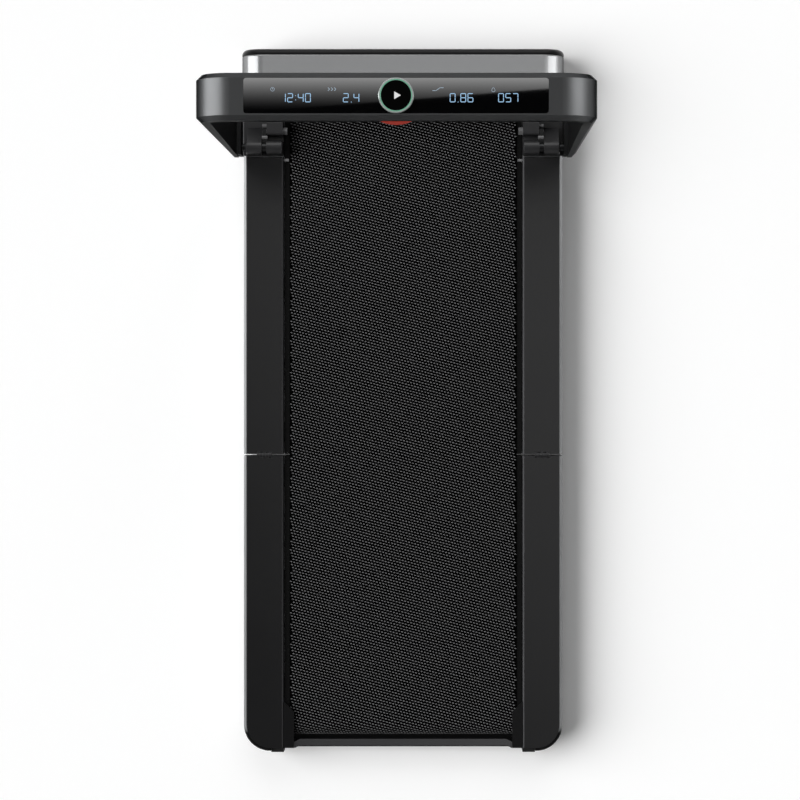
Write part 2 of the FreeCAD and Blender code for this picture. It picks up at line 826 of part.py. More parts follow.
def roller(half):
    """Steel roller on two bearings; the front one ends in the driven pulley."""
    left = [("-roller_half", "bearing_radius"), ("-roller_half", "roller_radius")]
    left_end = "-roller_half"
    if half == "front":
        left_end = "-pulley_outer"
        left = [
            ("-pulley_outer", "bearing_radius"),
            ("-pulley_outer", "roller_pulley"),
            ("-pulley_inner", "roller_pulley"),
            ("-pulley_inner", "roller_neck"),
            ("-roller_half", "roller_neck"),
            ("-roller_half", "roller_radius"),
        ]
    corners = left + [
        ("roller_half", "roller_radius"),
        ("roller_half", "bearing_radius"),
        ("roller_half - bearing_width", "bearing_radius"),
        ("roller_half - bearing_width", "roller_bore"),
        (f"{left_end} + bearing_width", "roller_bore"),
        (f"{left_end} + bearing_width", "bearing_radius"),
    ]
    place = "0", f"{half}_roller_y", "roller_z"
    revolve(f"{half}_roller", "XY", corners, place)
    rings = []
    for start in (left_end, "roller_half - bearing_width"):
        ring = round_bar("X", (start, *place[1:]), "bearing_radius - running_fit", "bearing_width")
        bore_place = (f"{start} - cut_past", *place[1:])
        bore = round_bar("X", bore_place, "axle_radius + running_fit", "bearing_width + 2 * cut_past")
        rings.append(cut(ring, [bore]))
    group(f"roller_bearings_{half}", rings)


def roller_axles():
    """Fixed axles; the rear one has cross holes for the tension bolts."""
    front = round_bar("X", ("-cheek_outer", "front_roller_y", "roller_z"), "axle_radius", "2 * cheek_outer")
    keep(front, "front_roller_axle")
    rear = round_bar("X", ("-fork_outer", "rear_roller_y", "roller_z"), "axle_radius", "2 * fork_outer")
    holes = []
    for sign in SIDES.values():
        start = f"{sign} * tension_x", "rear_roller_y - axle_radius - cut_past", "roller_z"
        holes.append(round_bar("Y", start, "tension_bolt + running_fit", "2 * axle_radius + 2 * cut_past"))
    keep(cut(rear, holes), "rear_roller_axle")


# Motor bay: base, cover, trim, motor, drive belt, electronics and transport wheels

def cheek(body, sign, inner, outer, middle_y, middle_z, half_wide, hole):
    """Upright ear of the base with a rounded top and a hole for an axle."""
    low, high = span(sign, inner, outer)
    crown = f"{middle_z} + {half_wide}"
    ear = [
        (f"{middle_y} - {half_wide}", "pan_top - pan_thick / 2"),
        (f"{middle_y} + {half_wide}", "pan_top - pan_thick / 2"),
        (f"{middle_y} + {half_wide}", crown, f"{half_wide} * {EAR_ROUND}"),
        (f"{middle_y} - {half_wide}", crown, f"{half_wide} * {EAR_ROUND}"),
    ]
    pad(body, "YZ", ear, low, high)
    bore = ((middle_y, middle_z), f"{hole} + running_fit")
    pocket(body, "YZ", bore, f"{low} - cut_past", f"{high} + cut_past")


def front_base():
    """Tray under the motor bay with a front wall, wheel slots and ears for the axles."""
    body = new_body("front_base")
    half_wide = "cover_inner - fit_gap"
    tray = rectangle(f"-({half_wide})", half_wide, "base_rear", "base_front")
    pad(body, "XY", tray, "foot_height", "pan_top")
    wall = rectangle("-cheek_outer", "cheek_outer", "base_front - base_wall", "base_front")
    pad(body, "XY", wall, "pan_top - pan_thick / 2", "base_wall_top")
    for sign in SIDES.values():
        slot = rectangle("wheel_x - slot_half", "wheel_x + slot_half",
                         "wheel_y - wheel_radius - base_wall", "wheel_y + wheel_radius + base_wall")
        pocket(body, "XY", mirrored(sign, slot), "foot_height - cut_past", "pan_top + cut_past")
        cheek(body, sign, "cheek_inner", "cheek_outer", "front_roller_y", "roller_z",
              "roller_ear", "axle_radius")
        for edge in ("-slot_half - base_wall", "slot_half"):
            cheek(body, sign, f"wheel_x + {edge}", f"wheel_x + {edge} + base_wall", "wheel_y", "wheel_z",
                  "wheel_ear", "wheel_axle")


def motor_cover():
    """Moulded hood with broad rounded shoulders, open below and low at the belt side."""
    body = new_body("motor_cover")
    half_wide = "cover_half"
    inner = "cover_inner"
    shell = [
        (f"-{half_wide}", "foot_height"),
        (half_wide, "foot_height"),
        (half_wide, "cover_top", "cover_round"),
        (f"-{half_wide}", "cover_top", "cover_round"),
    ]
    hollow = [
        (f"-({inner})", "foot_height - cut_past"),
        (inner, "foot_height - cut_past"),
        (inner, "cover_top - cover_wall", "cover_round - cover_wall"),
        (f"-({inner})", "cover_top - cover_wall", "cover_round - cover_wall"),
    ]
    mouth = rectangle(f"-({inner})", inner, "foot_height - cut_past", "mouth_top")
    pad(body, "XZ", shell, "cover_rear", "trim_rear")
    front_y = value("trim_rear")
    low_z = value("cover_top - cover_round")

    def front_top(edge):
        bounds = edge.BoundBox
        return bounds.YLength < NEAR and abs(bounds.YMax - front_y) < NEAR and bounds.ZMax > low_z + NEAR

    dress(body, "Fillet", "Radius", "cover_wall", front_top)
    pocket(body, "XZ", hollow, "cover_rear + cover_wall", "trim_rear - cover_wall")
    pocket(body, "XZ", mouth, "cover_rear - cut_past", "cover_rear + cover_wall + cut_past")
    pocket(body, "XZ", inlet_window("fit_gap"), "trim_rear - cover_wall - cut_past", "trim_rear + cut_past")


def inlet_window(margin):
    """Outline of the power inlet module, widened by a margin."""
    return rectangle(f"inlet_offset - inlet_width / 2 - {margin}",
                     f"inlet_offset + inlet_width / 2 + {margin}",
                     f"inlet_z - inlet_height / 2 - {margin}", f"inlet_z + inlet_height / 2 + {margin}")


def front_trim():
    """Front bumper strip with the cover's shoulders and a round front edge."""
    body = new_body("front_trim")
    face = [
        ("-cover_half", "foot_height"),
        ("cover_half", "foot_height"),
        ("cover_half", "trim_top", "cover_round - cover_top + trim_top"),
        ("-cover_half", "trim_top", "cover_round - cover_top + trim_top"),
    ]
    pad(body, "XZ", face, "trim_rear", "front_end")
    face_y, foot_z = value("front_end"), value("foot_height")

    def front_rim(edge):
        return edge.BoundBox.YMin > face_y - NEAR and edge.BoundBox.ZMax > foot_z + NEAR

    dress(body, "Fillet", "Radius", "trim_round", front_rim)
    pocket(body, "XZ", inlet_window("fit_gap"), "trim_rear - cut_past", "front_end + cut_past")


def motor():
    """Motor can with cooling ribs and a flat foot, and its rotor with pulley and fan."""
    left, right = "-motor_offset - motor_length / 2", "-motor_offset + motor_length / 2"
    place = "0", "motor_y", "motor_height"
    can = [
        (left, "motor_shaft + running_fit"),
        (right, "motor_shaft + running_fit"),
        (right, "motor_radius - motor_bell"),
        (f"{right} - motor_bell", "motor_radius"),
        (f"{left} + motor_bell", "motor_radius"),
        (left, "motor_radius - motor_bell"),
    ]
    body = revolve("motor_housing", "XY", can, place)
    foot = rectangle("-motor_offset - motor_foot", "-motor_offset + motor_foot",
                     "-motor_foot / 2", "motor_foot / 2")
    pad(body, "XY", foot, "pan_top - motor_height", "-motor_radius / 2")
    rotor = [
        ("-pulley_outer", "0"),
        ("-pulley_outer", "motor_pulley"),
        ("-pulley_inner", "motor_pulley"),
        ("-pulley_inner", "motor_shaft"),
        (f"{right} + fan_gap", "motor_shaft"),
        (f"{right} + fan_gap", "fan_radius"),
        (f"{right} + fan_gap + fan_width", "fan_radius"),
        (f"{right} + fan_gap + fan_width", "0"),
    ]
    revolve("motor_rotor", "XY", rotor, place)


def belt_loop(centres, radii):
    """Face bounded by two arcs and the two outer tangents of a pair of circles."""
    first, second = centres
    line = second - first
    lean = math.asin((radii[0] - radii[1]) / line.Length)
    heading = math.atan2(line.y, line.x)

    def at(centre, radius, angle):
        return centre + FreeCAD.Vector(math.cos(angle), math.sin(angle), 0) * radius

    upper = heading + math.pi / 2 - lean
    lower = heading - math.pi / 2 + lean
    big = [at(first, radii[0], angle) for angle in (upper, heading + math.pi, lower)]
    small = [at(second, radii[1], angle) for angle in (lower, heading, upper)]
    edges = [
        Part.Arc(*big).toShape(),
        Part.LineSegment(big[2], small[0]).toShape(),
        Part.Arc(*small).toShape(),
        Part.LineSegment(small[2], big[0]).toShape(),
    ]
    return Part.Face(Part.Wire(edges))


def drive_belt():
    """Ribbed drive belt round the motor pulley and the roller pulley."""
    centres = [
        FreeCAD.Vector(value("front_roller_y"), value("roller_z"), 0),
        FreeCAD.Vector(value("motor_y"), value("motor_height"), 0),
    ]
    gap = value("fit_gap")
    thick = value("drive_belt_thick")
    radii = [value("roller_pulley") + gap, value("motor_pulley") + gap]
    ring = belt_loop(centres, [radius + thick for radius in radii]).cut(belt_loop(centres, radii))
    band = ring.extrude(FreeCAD.Vector(0, 0, value("pulley_width - 2 * belt_flange")))
    feature = doc.addObject("Part::Feature", "drive_belt")
    feature.Shape = band
    # The loop is drawn flat; this turn takes its plane to the machine's side view.
    turn = FreeCAD.Rotation(FreeCAD.Vector(1, 1, 1), 120)
    feature.Placement = FreeCAD.Placement(FreeCAD.Vector(value("-pulley_outer + belt_flange"), 0, 0), turn)
    keep(feature, "drive_belt")


FIN_COUNT = 6


def controller_board():
    """Motor controller: board on posts, finned heat sink and two capacitors."""
    low, high = "board_left", "board_left + control_length"
    rear, front = "motor_y - control_depth / 2", "motor_y + control_depth / 2"
    under = "pan_top + control_post"
    top = f"{under} + board_plate"
    pieces = [box(low, high, rear, front, under, top)]
    for x in (f"{low} + control_inset", f"{high} - control_inset"):
        for y in (f"{rear} + control_inset", f"{front} - control_inset"):
            place = (x, y, "pan_top")
            pieces.append(round_bar("Z", place, "control_inset / 2", "control_post + board_plate / 2"))
    sink_left = f"{low} + control_length / 2"
    sink_right = f"{high} - control_inset"
    pieces.append(box(sink_left, sink_right, rear, front, f"{under}", f"{top} + fin_thick"))
    for index in range(FIN_COUNT):
        y = f"{rear} + {index} / {FIN_COUNT - 1} * (control_depth - fin_thick)"
        pieces.append(box(sink_left, sink_right, y, f"{y} + fin_thick", top, f"{top} + fin_height"))
    for step in (1, 2):
        place = f"{low} + {step} * control_length / 6", "motor_y", under
        pieces.append(round_bar("Z", place, "capacitor_radius", "board_plate + fin_height"))
    keep(fuse(pieces), "controller_board")


def power_inlet():
    """Appliance inlet with three flat pins, and the window of the rocker switch."""
    front = "front_end - inlet_recess"
    block = box("inlet_offset - inlet_width / 2", "inlet_offset + inlet_width / 2",
                "trim_rear - inlet_depth", front,
                "inlet_z - inlet_height / 2", "inlet_z + inlet_height / 2")
    socket = box("socket_x - socket_width / 2", "socket_x + socket_width / 2",
                 "front_end - socket_depth", "front_end",
                 "inlet_z - socket_height / 2", "inlet_z + socket_height / 2")
    window = box("switch_x - switch_width / 2 - fit_gap", "switch_x + switch_width / 2 + fit_gap",
                 "switch_back", "front_end",
                 "inlet_z - switch_height / 2 - switch_gap", "inlet_z + switch_height / 2 + switch_gap")
    pieces = [cut(block, [socket, window])]
    for x, z in (("-socket_pitch", "0"), ("socket_pitch", "0"), ("0", "socket_pitch / 2")):
        pieces.append(box(f"socket_x + {x} - pin_thick / 2", f"socket_x + {x} + pin_thick / 2",
                          "front_end - socket_depth - cut_past", "front_end - inlet_recess - pin_thick",
                          f"inlet_z + {z} - pin_thick", f"inlet_z + {z} + pin_thick"))
    keep(fuse(pieces), "power_inlet")


def power_switch():
    """Rocker with its lower half pressed in."""
    body = new_body("power_switch")
    rise = "switch_height / 2 * tan(switch_tilt)"
    profile = [
        ("switch_y - switch_keel", "inlet_z - switch_keel / 2"),
        (f"switch_y + switch_throw - {rise}", "inlet_z - switch_height / 2"),
        ("switch_y + switch_throw", "inlet_z"),
        (f"switch_y + switch_throw + 2 * {rise}", "inlet_z + switch_height / 2"),
        ("switch_y - switch_keel * 3 / 4", "inlet_z + switch_height / 2 - switch_gap"),
        ("switch_y - switch_keel", "inlet_z + switch_keel / 2"),
    ]
    pad(body, "YZ", profile, "switch_x - switch_width / 2", "switch_x + switch_width / 2")


def transport_wheels():
    """Two wheels at the motor end and the pins that they turn on."""
    pins = []
    for side, sign in SIDES.items():
        half = "wheel_width / 2"
        tyre = "wheel_radius - wheel_tyre"
        corners = [
            (f"-{half}", "wheel_axle + running_fit"),
            (half, "wheel_axle + running_fit"),
            (half, "wheel_hub"),
            (f"{half} - wheel_dish", "wheel_hub"),
            (f"{half} - wheel_dish", tyre),
            (half, tyre),
            (half, "wheel_radius - wheel_dish / 2"),
            (f"{half} - wheel_dish / 2", "wheel_radius"),
            (f"-{half} + wheel_dish / 2", "wheel_radius"),
            (f"-{half}", "wheel_radius - wheel_dish / 2"),
            (f"-{half}", tyre),
            (f"-{half} + wheel_dish", tyre),
            (f"-{half} + wheel_dish", "wheel_hub"),
            (f"-{half}", "wheel_hub"),
        ]
        revolve(f"wheel_{side}", "XY", corners, (f"{sign} * wheel_x", "wheel_y", "wheel_z"))
        low, high = span(sign, "wheel_x - slot_half - base_wall", "wheel_x + slot_half + base_wall")
        pins.append(round_bar("X", (low, "wheel_y", "wheel_z"), "wheel_axle", f"({high}) - ({low})"))
    group("wheel_axles", pins)


# Handrail hinge: a cast base on the deck and an arm that turns in it

def hinge_base(side):
    """Cast bracket with two bored knuckles, a slot between them and a sloping brace."""
    sign = SIDES[side]
    body = new_body(f"hinge_base_{side}")
    outer_lug = span(sign, "slot_outer", "lug_outer")
    inner_lug = span(sign, "lug_inner", "slot_inner")
    plate = rectangle("lug_inner", "deck_half", "hinge_rear", "hinge_front")
    pad(body, "XY", mirrored(sign, plate), "seat_z", "plate_top")
    pedestal = rectangle("hinge_rear", "hinge_y + knuckle_radius", "plate_top - hinge_plate / 2", "hinge_z")
    shoulder = "knuckle_radius * cos(45)"
    brace = [
        ("hinge_y", "plate_top - hinge_plate / 2"),
        (f"hinge_y + 2 * {shoulder} + hinge_z - plate_top - brace_lip", "plate_top - hinge_plate / 2"),
        (f"hinge_y + 2 * {shoulder} + hinge_z - plate_top - brace_lip", "plate_top + brace_lip"),
        (f"hinge_y + {shoulder}", f"hinge_z + {shoulder}"),
        ("hinge_y", "hinge_z"),
    ]
    for lug in (outer_lug, inner_lug):
        pad(body, "YZ", pedestal, *lug)
        pad(body, "YZ", (("hinge_y", "hinge_z"), "knuckle_radius"), *lug)
    ends = [abs(value(end)) for end in ("lug_inner", "lug_outer")]
    round_z = value("hinge_z")

    def knuckle_end(edge):
        bounds = edge.BoundBox
        at_end = min(abs(abs(bounds.XMin) - end) for end in ends) < NEAR and bounds.XLength < NEAR
        return at_end and bounds.ZMax > round_z + NEAR and bounds.ZLength > NEAR

    dress(body, "Chamfer", "Size", "knuckle_bevel", knuckle_end)
    brace_low, brace_high = span(sign, "slot_outer", "lug_outer - knuckle_bevel")
    pad(body, "YZ", brace, brace_low, brace_high)
    low, high = span(sign, "lug_inner - cut_past", "lug_outer + cut_past")
    pocket(body, "YZ", (("hinge_y", "hinge_z"), "pivot_radius + running_fit"), low, high)


def stop_blocks():
    """Blocks ahead of the inner knuckles that hold the stop bolts."""
    blocks = []
    for sign in SIDES.values():
        body = doc.addObject("PartDesign::Body", "stop_block")
        profile = [
            ("stop_rear", "plate_top"),
            ("stop_front", "plate_top"),
            ("stop_front", "hinge_z", "stop_round"),
            ("stop_rear", "hinge_z", "stop_round"),
        ]
        low, high = span(sign, "lug_inner", "slot_inner")
        pad(body, "YZ", profile, low, high)
        bore = (("stop_y", "stop_z"), "stop_bolt + running_fit")
        pocket(body, "YZ", bore, f"{low} - cut_past", f"{high} + cut_past")
        blocks.append(body)
    group("stop_blocks", blocks)


def stop_bolts():
    """Bolts across the hinge slot; the arm's finger lands on them when the handrail is upright."""
    bolts = []
    for sign in SIDES.values():
        low, high = span(sign, "lug_inner", "slot_outer - fit_gap")
        shank = round_bar("X", (low, "stop_y", "stop_z"), "stop_bolt", f"({high}) - ({low})")
        head_low, _ = span(sign, "lug_inner - stop_head", "lug_inner")
        head = hex_head("X", (head_low, "stop_y", "stop_z"), "stop_head_radius", "stop_head")
        bolts.append(fuse([shank, head]))
    group("stop_bolts", bolts)


def hinge_arm(side):
    """Side plate of the post with the pivot shaft and the stop finger, welded together."""
    sign = SIDES[side]
    plate = box(*span(sign, "arm_inner", "arm_outer"), "hinge_y - arm_back", "hinge_y + arm_ahead",
                "hinge_z - arm_below", "hinge_z + arm_above")
    low, high = span(sign, "lug_inner", "arm_outer")
    shaft = round_bar("X", (low, "hinge_y", "hinge_z"), "pivot_radius", f"({high}) - ({low})")
    low, high = span(sign, "slot_inner + slot_gap", "slot_outer - slot_gap")
    cam = round_bar("X", (low, "hinge_y", "hinge_z"), "cam_radius", f"({high}) - ({low})")
    finger = box(low, high, "hinge_y", "stop_y + stop_bolt", "hinge_z - finger_height", "hinge_z")
    keep(fuse([plate, shaft, cam, finger]), f"hinge_arm_{side}")


# Handrail: posts, console and controls

def post(side):
    """Tapered hollow upright with bevelled outer edges, open at the top for the console."""
    sign = SIDES[side]
    body = new_body(f"post_{side}")
    low_inner = "handrail_half - post_low_thick"
    profile = [
        (low_inner, "post_bottom"),
        ("handrail_half", "post_bottom", "post_toe"),
        ("handrail_half", "console_seam"),
        ("leg_inner", "console_seam"),
    ]
    pad(body, "XZ", mirrored(sign, profile), "post_rear", "post_front")
    outer_x = value("handrail_half")
    rear_y, front_y = value("post_rear"), value("post_front")
    seam_z = value("console_seam")

    def outer_rim(edge):
        bounds = edge.BoundBox
        at_end = min(abs(bounds.YMax - rear_y), abs(bounds.YMin - front_y)) < NEAR and bounds.YLength < NEAR
        reach = max(abs(bounds.XMin), abs(bounds.XMax))
        return at_end and reach > outer_x - NEAR and bounds.ZMax < seam_z + NEAR and bounds.ZLength > NEAR

    dress(body, "Chamfer", "Size", "post_bevel", outer_rim)
    hollow = [
        (f"{low_inner} + post_wall", "hinge_z + arm_above"),
        ("handrail_half - post_wall", "hinge_z + arm_above"),
        ("handrail_half - post_wall", "console_seam + cut_past"),
        ("leg_inner + post_wall", "console_seam + cut_past"),
    ]
    pocket(body, "XZ", mirrored(sign, hollow), "post_rear + post_bevel", "post_front - post_bevel")


def console_shell():
    """Console bar with rounded shoulders and short legs that plug into the posts."""
    body = new_body("console_shell")
    arch = [
        ("-handrail_half", "console_seam"),
        ("-handrail_half", "console_top", "console_round"),
        ("handrail_half", "console_top", "console_round"),
        ("handrail_half", "console_seam"),
        ("leg_inner", "console_seam"),
        ("leg_inner", "console_under", "console_inner_round"),
        ("-leg_inner", "console_under", "console_inner_round"),
        ("-leg_inner", "console_seam"),
    ]
    pad(body, "XZ", arch, "post_rear", "post_front")
    rear_y, front_y = value("post_rear"), value("post_front")
    under_z = value("console_under")
    inner_x = value("leg_inner")

    def outer_rim(edge):
        bounds = edge.BoundBox
        at_end = min(abs(bounds.YMax - rear_y), abs(bounds.YMin - front_y)) < NEAR and bounds.YLength < NEAR
        reach = min(abs(bounds.XMin), abs(bounds.XMax))
        on_leg = reach > inner_x + NEAR and bounds.ZLength > NEAR
        return at_end and (bounds.ZMax > under_z + NEAR or on_leg)

    dress(body, "Chamfer", "Size", "post_bevel", outer_rim)
    rear, front = "post_rear + console_wall", "post_front - console_wall"
    cavity = rectangle("-cavity_half", "cavity_half", rear, front)
    pocket(body, "XY", cavity, "console_under - cut_past", "console_top - console_wall")
    glass_rear, glass_front = "display_y - glass_depth / 2", "display_y + glass_depth / 2"
    recess = rectangle("-glass_half - fit_gap", "glass_half + fit_gap",
                       f"{glass_rear} - fit_gap", f"{glass_front} + fit_gap")
    recess = rounded(recess, "glass_corner + fit_gap")
    pocket(body, "XY", recess, "console_top - glass_thick", "console_top + cut_past")
    window = rectangle("-glass_half + glass_ledge", "glass_half - glass_ledge",
                       f"{glass_rear} + glass_ledge", f"{glass_front} - glass_ledge")
    pocket(body, "XY", window, "console_under", "console_top")
    slot = rectangle("-tongue_half - fit_gap", "tongue_half + fit_gap",
                     "key_z - tongue_thick / 2 - fit_gap", "key_z + tongue_thick / 2 + fit_gap")
    pocket(body, "XZ", slot, "post_rear - cut_past", "post_rear + key_tongue + fit_gap")
    for sign in SIDES.values():
        spigot = rectangle("leg_inner + post_wall + spigot_gap", "handrail_half - post_wall - fit_gap",
                           "post_rear + post_bevel + fit_gap", "post_front - post_bevel - fit_gap")
        pad(body, "XY", mirrored(sign, spigot), "console_seam - spigot_length", "console_seam + post_wall")


def console_lower_cover():
    """Plate that closes the console from below, with posts for the display board."""
    pieces = [box("-cavity_half + fit_gap", "cavity_half - fit_gap",
                  "post_rear + console_wall + fit_gap", "post_front - console_wall - fit_gap",
                  "console_under", "console_under + glass_thick")]
    for sign in SIDES.values():
        for way in (-1, 1):
            x, y = f"{sign} * display_post_x", f"display_y + {way} * display_post_y"
            place = (x, y, "console_under + glass_thick / 2")
            pieces.append(round_bar("Z", place, "display_post", "board_z - console_under - glass_thick / 2"))
    keep(fuse(pieces), "console_lower_cover")


def display_glass():
    """Black glass of the display with a hole for the knob's sleeve."""
    body = new_body("display_glass")
    half = "glass_half"
    rear, front = "display_y - glass_depth / 2", "display_y + glass_depth / 2"
    plan = rounded(rectangle(f"-{half}", half, rear, front), "glass_corner")
    pad(body, "XY", plan, "console_top - glass_thick", "console_top")
    sleeve_hole = (("0", "display_y"), "knob_sleeve + slot_gap")
    pocket(body, "XY", sleeve_hole, "console_under", "console_top + cut_past")


def display_board():
    """Circuit board of the display with the fixed post of the rotary control."""
    plate = box("-display_post_x - display_post * 2", "display_post_x + display_post * 2",
                "display_y - display_post_y - display_post", "display_y + display_post_y + display_post",
                "board_z", "board_z + board_plate")
    foot = ("0", "display_y", "board_z")
    stand = round_bar("Z", foot, "knob_post - running_fit", "knob_under - board_z - fit_gap")
    bore = round_bar("Z", ("0", "display_y", "board_z + board_plate"), "button_stem + running_fit",
                     "knob_under - board_z")
    keep(cut(fuse([plate, stand]), [bore]), "display_board")


def knob():
    """Turning ring on a sleeve, and the push button inside it."""
    ring = [
        ("knob_post", "board_z + board_plate + fit_gap"),
        ("knob_sleeve", "board_z + board_plate + fit_gap"),
        ("knob_sleeve", "knob_under"),
        ("knob_radius", "knob_under"),
        ("knob_radius", "height_overall - slot_gap"),
        ("knob_radius - slot_gap", "height_overall"),
        ("knob_radius - knob_rim", "height_overall"),
        ("knob_radius - knob_rim", "knob_under + knob_web"),
        ("knob_post", "knob_under + knob_web"),
    ]
    revolve("knob_ring", "XZ", ring, ("0", "display_y", "0"))
    disc_under = "knob_under + knob_web + button_travel + fit_gap"
    button = [
        ("0", "board_z + board_plate + button_travel + fit_gap"),
        ("button_stem", "board_z + board_plate + button_travel + fit_gap"),
        ("button_stem", disc_under),
        ("knob_radius - knob_rim - fit_gap", disc_under),
        ("knob_radius - knob_rim - fit_gap", "height_overall - slot_gap / 2"),
        ("0", "height_overall - slot_gap / 2"),
    ]
    revolve("knob_button", "XZ", button, ("0", "display_y", "0"))


def safety_key():
    """Magnetic safety key: a crescent grip with a tongue in the console's rear edge."""
    bow = "(key_chord * key_chord / 8 / key_bulge + key_bulge / 2)"
    face = "post_rear - fit_gap"
    middle = ("0", f"post_rear - key_bulge + {bow}", "key_z - key_height / 2")
    disc = round_bar("Z", middle, bow, "key_height")
    limit = box("-key_chord", "key_chord", "post_rear - key_bulge - cut_past", face,
                "key_z - key_height", "key_z + key_height")
    grip = doc.addObject("Part::Common", "grip")
    grip.Base = disc
    grip.Tool = limit
    tongue = box("-tongue_half", "tongue_half", "post_rear - cut_past", "post_rear + key_tongue",
                 "key_z - tongue_thick / 2", "key_z + tongue_thick / 2")
    keep(fuse([grip, tongue]), "safety_key")


# Rear end: caps, guard bar, bumpers and belt tension

def end_cap(side):
    """Moulded corner under the foot rail with the roller's slot, and the guard beside the belt."""
    sign = SIDES[side]
    body = new_body(f"end_cap_{side}")
    corner = [
        ("rail_inner", "cap_rear"),
        ("rail_outer - fit_gap", "cap_rear", "cap_corner"),
        ("rail_outer - fit_gap", "corner_y - fit_gap"),
        ("rail_inner", "corner_y - fit_gap"),
    ]
    pad(body, "XY", mirrored(sign, corner), "pan_top", "seat_z")
    fork = rectangle("fork_inner", "fork_outer", "corner_y - cut_past", "rear_roller_y + fork_ahead")
    pad(body, "XY", mirrored(sign, fork), "pan_top + rail_flange + fit_gap", "seat_z - rail_flange - fit_gap")
    wall = rectangle("guard_inner", "rail_inner + cut_past", "cap_rear", "cap_rear + guard_wall")
    pad(body, "XY", mirrored(sign, wall), "pan_top", "seat_z")
    upper_wall = rectangle("guard_inner", "rail_inner - fit_gap", "cap_rear", "cap_rear + guard_wall")
    pad(body, "XY", mirrored(sign, upper_wall), "pan_top", "deck_top")
    guard = [
        ("guard_inner", "cap_rear"),
        ("rail_inner - fit_gap", "cap_rear"),
        ("rail_inner - fit_gap", "cap_rear + rear_guard_length"),
        ("guard_inner", "cap_rear + rear_guard_length - rear_guard_reach"),
    ]
    pad(body, "XY", mirrored(sign, guard), "belt_top + guard_gap", "deck_top")
    slot = rectangle("rear_roller_y - tension_range", "rear_roller_y + fork_ahead + cut_past",
                     "roller_z - axle_radius - fit_gap", "roller_z + axle_radius + fit_gap")
    pocket(body, "YZ", slot, *span(sign, "rail_inner - cut_past", "fork_outer + cut_past"))
    bolt = (f"{sign} * tension_x", "roller_z")
    pocket(body, "XZ", (bolt, "tension_bolt + fit_gap"), "cap_rear - cut_past", "rear_roller_y")
    pocket(body, "XZ", (bolt, "tension_head + fit_gap"), "cap_rear - cut_past", "cap_rear + tension_sink")


def tension_bolts():
    """Bolts that pull the rear roller's axle back to tighten the belt."""
    bolts = []
    for sign in SIDES.values():
        x = f"{sign} * tension_x"
        head = hex_head("Y", (x, "cap_rear + fit_gap", "roller_z"), "tension_head", "tension_sink - fit_gap")
        shank = round_bar("Y", (x, "cap_rear + tension_sink - cut_past", "roller_z"), "tension_bolt",
                          "rear_roller_y + axle_radius - cap_rear - tension_sink + cut_past")
        bolts.append(fuse([head, shank]))
    group("tension_bolts", bolts)


def rear_bar():
    """Guard bar behind the rear roller, cranked back at both ends."""
    body = new_body("rear_bar")
    front, rear = "bar_front", "bar_front - rear_bar_depth"
    tip, bend = "guard_inner - fit_gap", "guard_inner - bar_crank * 2"
    plan = [
        (f"-({tip})", f"{front} - bar_crank"),
        (f"-({tip})", f"{rear} - bar_crank"),
        (f"-({bend})", rear),
        (bend, rear),
        (tip, f"{rear} - bar_crank"),
        (tip, f"{front} - bar_crank"),
        (bend, front),
        (f"-({bend})", front),
    ]
    pad(body, "XY", plan, "bar_top - rear_bar_height", "bar_top")


def rear_bumpers():
    """Rubber blocks on which the folded deck can lean."""
    blocks = []
    for sign in SIDES.values():
        blocks.append(box(*span(sign, "rail_inner", "strip_end - fit_gap"),
                          "rear_end - bumper_reach", "cap_rear",
                          "pan_top + rail_flange", "seat_z"))
    group("rear_bumpers", blocks)


def build():
    """Make every sub-part."""
    fill_sheets()
    for half in HALF_SIGN:
        for side in SIDES:
            side_rail(half, side)
            foot_rail(half, side)
        running_board(half)
        cross_members(half)
        cushions(half)
        belly_pan(half)
        walking_belt(half)
        feet(half)
        roller(half)
    fold_hinges()
    roller_axles()
    front_base()
    motor_cover()
    front_trim()
    motor()
    drive_belt()
    controller_board()
    power_inlet()
    power_switch()
    transport_wheels()
    for side in SIDES:
        hinge_base(side)
        hinge_arm(side)
        post(side)
        end_cap(side)
    stop_blocks()
    stop_bolts()
    console_shell()
    console_lower_cover()
    display_glass()
    display_board()
    knob()
    safety_key()
    tension_bolts()
    rear_bar()
    rear_bumpers()
    doc.recompute()


def check():
    """Stop if any object failed, any sub-part is empty or broken, or a cut removed nothing."""
    for item in doc.Objects:
        if "Invalid" in item.State or "Error" in item.State:
            raise RuntimeError(f"{item.Label} failed: {item.State}")
        if item.TypeId == "PartDesign::Pocket" and item.Shape.Volume > item.BaseFeature.Shape.Volume - NEAR:
            raise RuntimeError(f"{item.Label} cuts nothing")
    for item in subparts:
        if item.Shape.isNull() or not item.Shape.isValid() or not item.Shape.Solids:
            raise RuntimeError(f"{item.Label} has no valid shape")


def write():
    """Write one file for each sub-part."""
    os.makedirs("parts", exist_ok=True)
    for item in subparts:
        item.Shape.exportStep(f"parts/{item.Label}.step")
    print(len(subparts), "sub-parts written")


build()
check()
write()
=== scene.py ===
# %% [markdown]
# A folding walking pad with an upright handrail, dressed around its CAD model.
# The CAD nodes give every rigid shape. This lesson adds what the solids leave out: the grip of the
# walking belt, the lit display, screws and clips, and a finish for each surface.

# %% Load the frame
import json
import math

